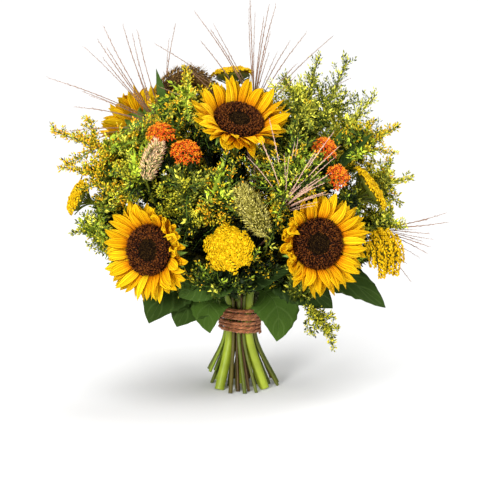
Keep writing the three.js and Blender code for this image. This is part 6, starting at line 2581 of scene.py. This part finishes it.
def turned_line(line: Array, angle: float, length: float) -> Array:
    """A line turned about its foot across the view of the fullest side, and cut to a share of its length."""
    away = line[arc_shares(line) <= length] - line[0]
    return np.array([turned(v, np.array([0.0, 1.0, 0.0]), angle) for v in away]) + line[0]


@dataclass
class PlumeGrass:
    """A plume grass: a culm that opens into long whips with small spikelets."""

    plan: GrassPlan
    stem: Stem
    spikelet_gap: float = 3.2

    def build(self, shop: Workshop) -> None:
        """Makes the grass.

        Args:
            shop: the workshop that makes the pieces.
        """
        name = self.plan.name
        tone = 2 * self.plan.pale - 1
        whips, hung = Sheaf(), Sheaf()
        line = self.stem.whole()
        draw = seeded(seed_of(name))
        whips.add_stem(line, (1.9, 1.1), -0.6)
        for whip in shop.branches(name, 3, self.plan.at):
            bent = smooth_line(whip, 5.0)
            turns: tuple[float, ...] = ()
            if self.plan.pale > 0.5:
                turns = (0.35, -0.3)
            elif draw() < 0.6:
                turns = (0.3 if draw() < 0.5 else -0.3,)
            beside = [turned_line(bent, turn + 0.3 * (draw() - 0.5), 0.65 + 0.35 * draw()) for turn in turns]
            for one, fine in ((bent, 1.0), *[(whip_beside, 0.75) for whip_beside in beside]):
                run = arc_shares(one)
                whips.add_line(one, thick=np.interp(run, (0, 0.5, 1), (0.62, 0.5, 0.24)) * fine, tone=tone)
                hung.add_line(one[run > 0.2], reach=0.5, tone=tone,
                              size=np.interp(run[run > 0.2], (0.2, 0.6, 1), (0.4, 0.75, 0.5)) * fine)
        shop.finish(name, [
            shop.sweep(name, whips, Look.WHIP, 6),
            shop.strew(name, hung, Element.SPIKELET, Look.WHIP, self.spikelet_gap, seed_of(name), lean=0.82,
                       rise=0.05, disorder=0.12, inner=0.6, size=(0.6, 1.15), spread=0.4),
        ])


# Twine

TWINE_NODE = "twine_wrap"


@dataclass
class Twine:
    """Jute twine wound round the waist: turns of three twisted plies, with loose fibres.

    ``lay`` is the length of one twist, ``ply`` a ply's radius, and ``apart`` how far it lies from the
    middle of the twine, outwards and upwards.
    """

    turns: float = 6.0
    steps_a_turn: int = 36
    radius: float = 24.1
    plies: int = 3
    ply: float = 1.35
    apart: tuple[float, float] = (1.25, 1.55)
    lay: float = 11.0

    def build(self, shop: Workshop) -> None:
        """Makes the winding as one piece.

        Args:
            shop: the workshop that makes the pieces.
        """
        angle = np.linspace(0, 2 * math.pi * self.turns, int(self.turns * self.steps_a_turn))
        share = angle / angle[-1]
        wobble = 0.5 * np.sin(angle * 1.37 + 1) + 0.4 * np.sin(angle * 0.61)
        out = self.radius + 0.45 * np.sin(angle * 2.9)
        x, y = out * np.cos(angle), out * np.sin(angle)
        z = TIE_HEIGHT - TIE_WIDTH / 2 + 3 + share * (TIE_WIDTH - 6) + wobble - TIE_TILT * x
        path = np.stack([x, y, z], axis=1)
        outward = np.stack([np.cos(angle), np.sin(angle), np.zeros(len(angle))], axis=1)
        up = np.cross(outward, unit_rows(np.gradient(path, axis=0)))
        run = run_along(path)
        plies, fuzz = Sheaf(), Sheaf()
        for k in range(self.plies):
            turn = 2 * math.pi * (run / self.lay + k / self.plies)
            line = path + outward * (np.cos(turn) * self.apart[0])[:, None]
            line += up * (np.sin(turn) * self.apart[1])[:, None]
            plies.add_line(line, thick=self.ply * (1 + 0.08 * np.sin(run * 0.9 + k)), tone=0.5 * (k - 1))
            fuzz.add_line(line, reach=1.1, size=1.0, tone=0.4)
        shop.finish(TWINE_NODE, [
            shop.sweep(TWINE_NODE, plies, Look.TWINE, 6, 0.12),
            shop.strew(TWINE_NODE, fuzz, Element.FIBRE, Look.TWINE, 1.1, 7, lean=0.86, disorder=0.28,
                       inner=0.8, size=(0.5, 1.1)),
        ])


# Studio

@dataclass
class Studio:
    """The pale floor, the soft light and the camera.

    ``height``, ``distance``, ``elevation`` and ``field`` place the camera. ``suns`` are the tilt and the
    lean of the two wide suns, and ``lamps`` the name, place, size and power of the lamps in front.
    """

    height: float = 0.178
    distance: float = 1.8
    elevation: float = 10.0
    field: float = 18.2
    sky: float = 0.19
    paleness: float = 0.835
    sun_power: float = 1.87
    sun_width: float = 50.0
    suns: tuple[tuple[float, float], ...] = ((-26, 26), (20, -4))
    lamps: tuple[tuple[str, Point, float, float], ...] = (
        ("key", (-1.0, -1.9, 0.62), 0.6, 39.0), ("fill", (1.6, -1.8, 0.45), 1.2, 14.0))

    def build(self, axis: Array) -> None:
        """Sets it up round the axis of the bunch.

        Args:
            axis: the foot of that axis, in metres.
        """
        target = Vector((axis[0], axis[1], self.height))
        self._floor()
        self._light(target)
        self._camera(target)

    def _floor(self) -> None:
        """The matt floor, which runs far back."""
        floor = bpy.data.meshes.new("floor")
        floor.from_pydata([(-30, -30, 0), (30, -30, 0), (30, 60, 0), (-30, 60, 0)], [], [(0, 1, 2, 3)])
        paint = bpy.data.materials.new("pale_floor")
        paint.use_nodes = True
        surface = paint.node_tree.nodes["Principled BSDF"].inputs
        surface["Base Color"].default_value = (self.paleness, self.paleness, self.paleness, 1)
        surface["Roughness"].default_value = 1.0
        surface["Specular IOR Level"].default_value = 0.0
        floor.materials.append(paint)
        put_in_scene("floor", floor)

    def _light(self, target: Vector) -> None:
        """A sky that the camera sees white, two wide suns, and soft lamps that look at the bunch.

        Args:
            target: what the lamps look at.
        """
        world = bpy.data.worlds.new("studio")
        world.use_nodes = True
        plan = NodePlan(world.node_tree)
        seen = plan.add("ShaderNodeLightPath", {}, "Is Camera Ray")
        background = world.node_tree.nodes["Background"]
        background.inputs["Color"].default_value = (1, 1, 1, 1)
        plan.tree.links.new(plan.calc("MAXIMUM", seen, self.sky), background.inputs["Strength"])
        bpy.context.scene.world = world
        for tilt, lean in self.suns:
            sun = bpy.data.lights.new("sky", "SUN")
            sun.energy, sun.angle = self.sun_power, math.radians(self.sun_width)
            put_in_scene("sky", sun).rotation_euler = (math.radians(tilt), math.radians(lean), 0)
        for name, away, size, power in self.lamps:
            lamp = bpy.data.lights.new(name, "AREA")
            lamp.shape, lamp.size, lamp.energy = "DISK", size, power
            placed = put_in_scene(name, lamp)
            placed.location = target + Vector(away)
            placed.rotation_euler = (target - placed.location).to_track_quat("-Z", "Y").to_euler()

    def _camera(self, target: Vector) -> None:
        """The camera, which looks at the bunch from its fullest side.

        Args:
            target: what it looks at.
        """
        camera = bpy.data.cameras.new("camera")
        camera.lens = camera.sensor_width / (2 * math.tan(math.radians(self.field / 2)))
        camera.clip_end = 200
        eye = put_in_scene("camera", camera)
        rise = math.radians(self.elevation)
        eye.location = target + Vector((0, -math.cos(rise), math.sin(rise))) * self.distance
        eye.rotation_euler = (target - eye.location).to_track_quat("-Z", "Y").to_euler()
        bpy.context.scene.camera = eye
        bpy.context.scene.view_settings.view_transform = "Standard"


# The bunch

SUNFLOWER_BENDS = {
    "sunflower_left": {"curl": 0.75, "curl_at": 0.2, "tone": 0.7},
    "sunflower_top": {"cup": (0.25, 0.62), "tone": 0.8},
    "sunflower_right": {"curl": 0.9, "curl_at": math.pi, "tone": 0.9},
    "sunflower_back": {"tone": 0.4},
}
YARROW_FINGERS = {"yarrow_right_low": 5}
SPIKE_LOOKS = {
    "foxtail_green": {"look": Look.FOXTAIL, "bristle": 1.25, "bristle_gap": 0.09, "grain": 1.05,
                      "grain_gap": 0.085, "tone": 0.3},
    "foxtail_brown": {"look": Look.BROWN_FOXTAIL, "bristle": 1.1, "bristle_gap": 0.09, "grain": 0.85,
                      "grain_gap": 0.09},
    "bud_spike_pink": {"look": Look.PINK, "bristle": 0.6, "bristle_gap": 0.3, "grain": 1.15,
                       "grain_gap": 0.075, "seed": Element.SPIKELET, "core": 0.42, "tone": 0.1},
}


def main() -> None:
    """Builds the bunch, piece by piece, and the studio round it."""
    logging.basicConfig(level=logging.INFO, format="%(message)s")
    for leftover in list(bpy.data.objects):
        bpy.data.objects.remove(leftover)
    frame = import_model()
    low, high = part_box(TWINE_NODE)
    shift = np.array([(low[0] + high[0]) / 2, (low[1] + high[1]) / 2, 0.0])
    slots = {part["node"]: part["material_slot"] for part in frame["record"]["subparts"]}
    Studio().build(shift)
    shop = Workshop(frame["nodes"], slots, shift).build()
    bundle = Bundle().build()
    shoots = Foliage(bundle).build()
    LOG.info("shoots: %d", sum(len(lines) for lines in shoots.values()))
    for plan in SUNFLOWERS:
        Sunflower(plan, bundle.of(plan.name), **SUNFLOWER_BENDS[plan.name]).build(shop)
    for plan in YARROWS:
        Yarrow(plan, bundle.of(plan.name), shoots[plan.name + "_stem"],
               fingers=YARROW_FINGERS.get(plan.name, 0)).build(shop)
    for plan in MILKWEEDS:
        Milkweed(plan, bundle.of(plan.name)).build(shop)
    for spray in GOLDENRODS:
        Spray(spray, bundle.of(spray.name), shoots[spray.name]).build(shop)
    for spike in SPIKES:
        SeedSpike(spike, bundle.of(spike.name), **SPIKE_LOOKS[spike.name]).build(shop)
    for grass in GRASSES:
        PlumeGrass(grass, bundle.of(grass.name)).build(shop)
    for plan in LEAFY_STEMS:
        LeafyStem(plan, bundle.of(plan.name), shoots[plan.name]).build(shop)
    Twine().build(shop)
    LOG.info("triangles in all: %d", shop.triangles)


if __name__ == "__main__":
    main()
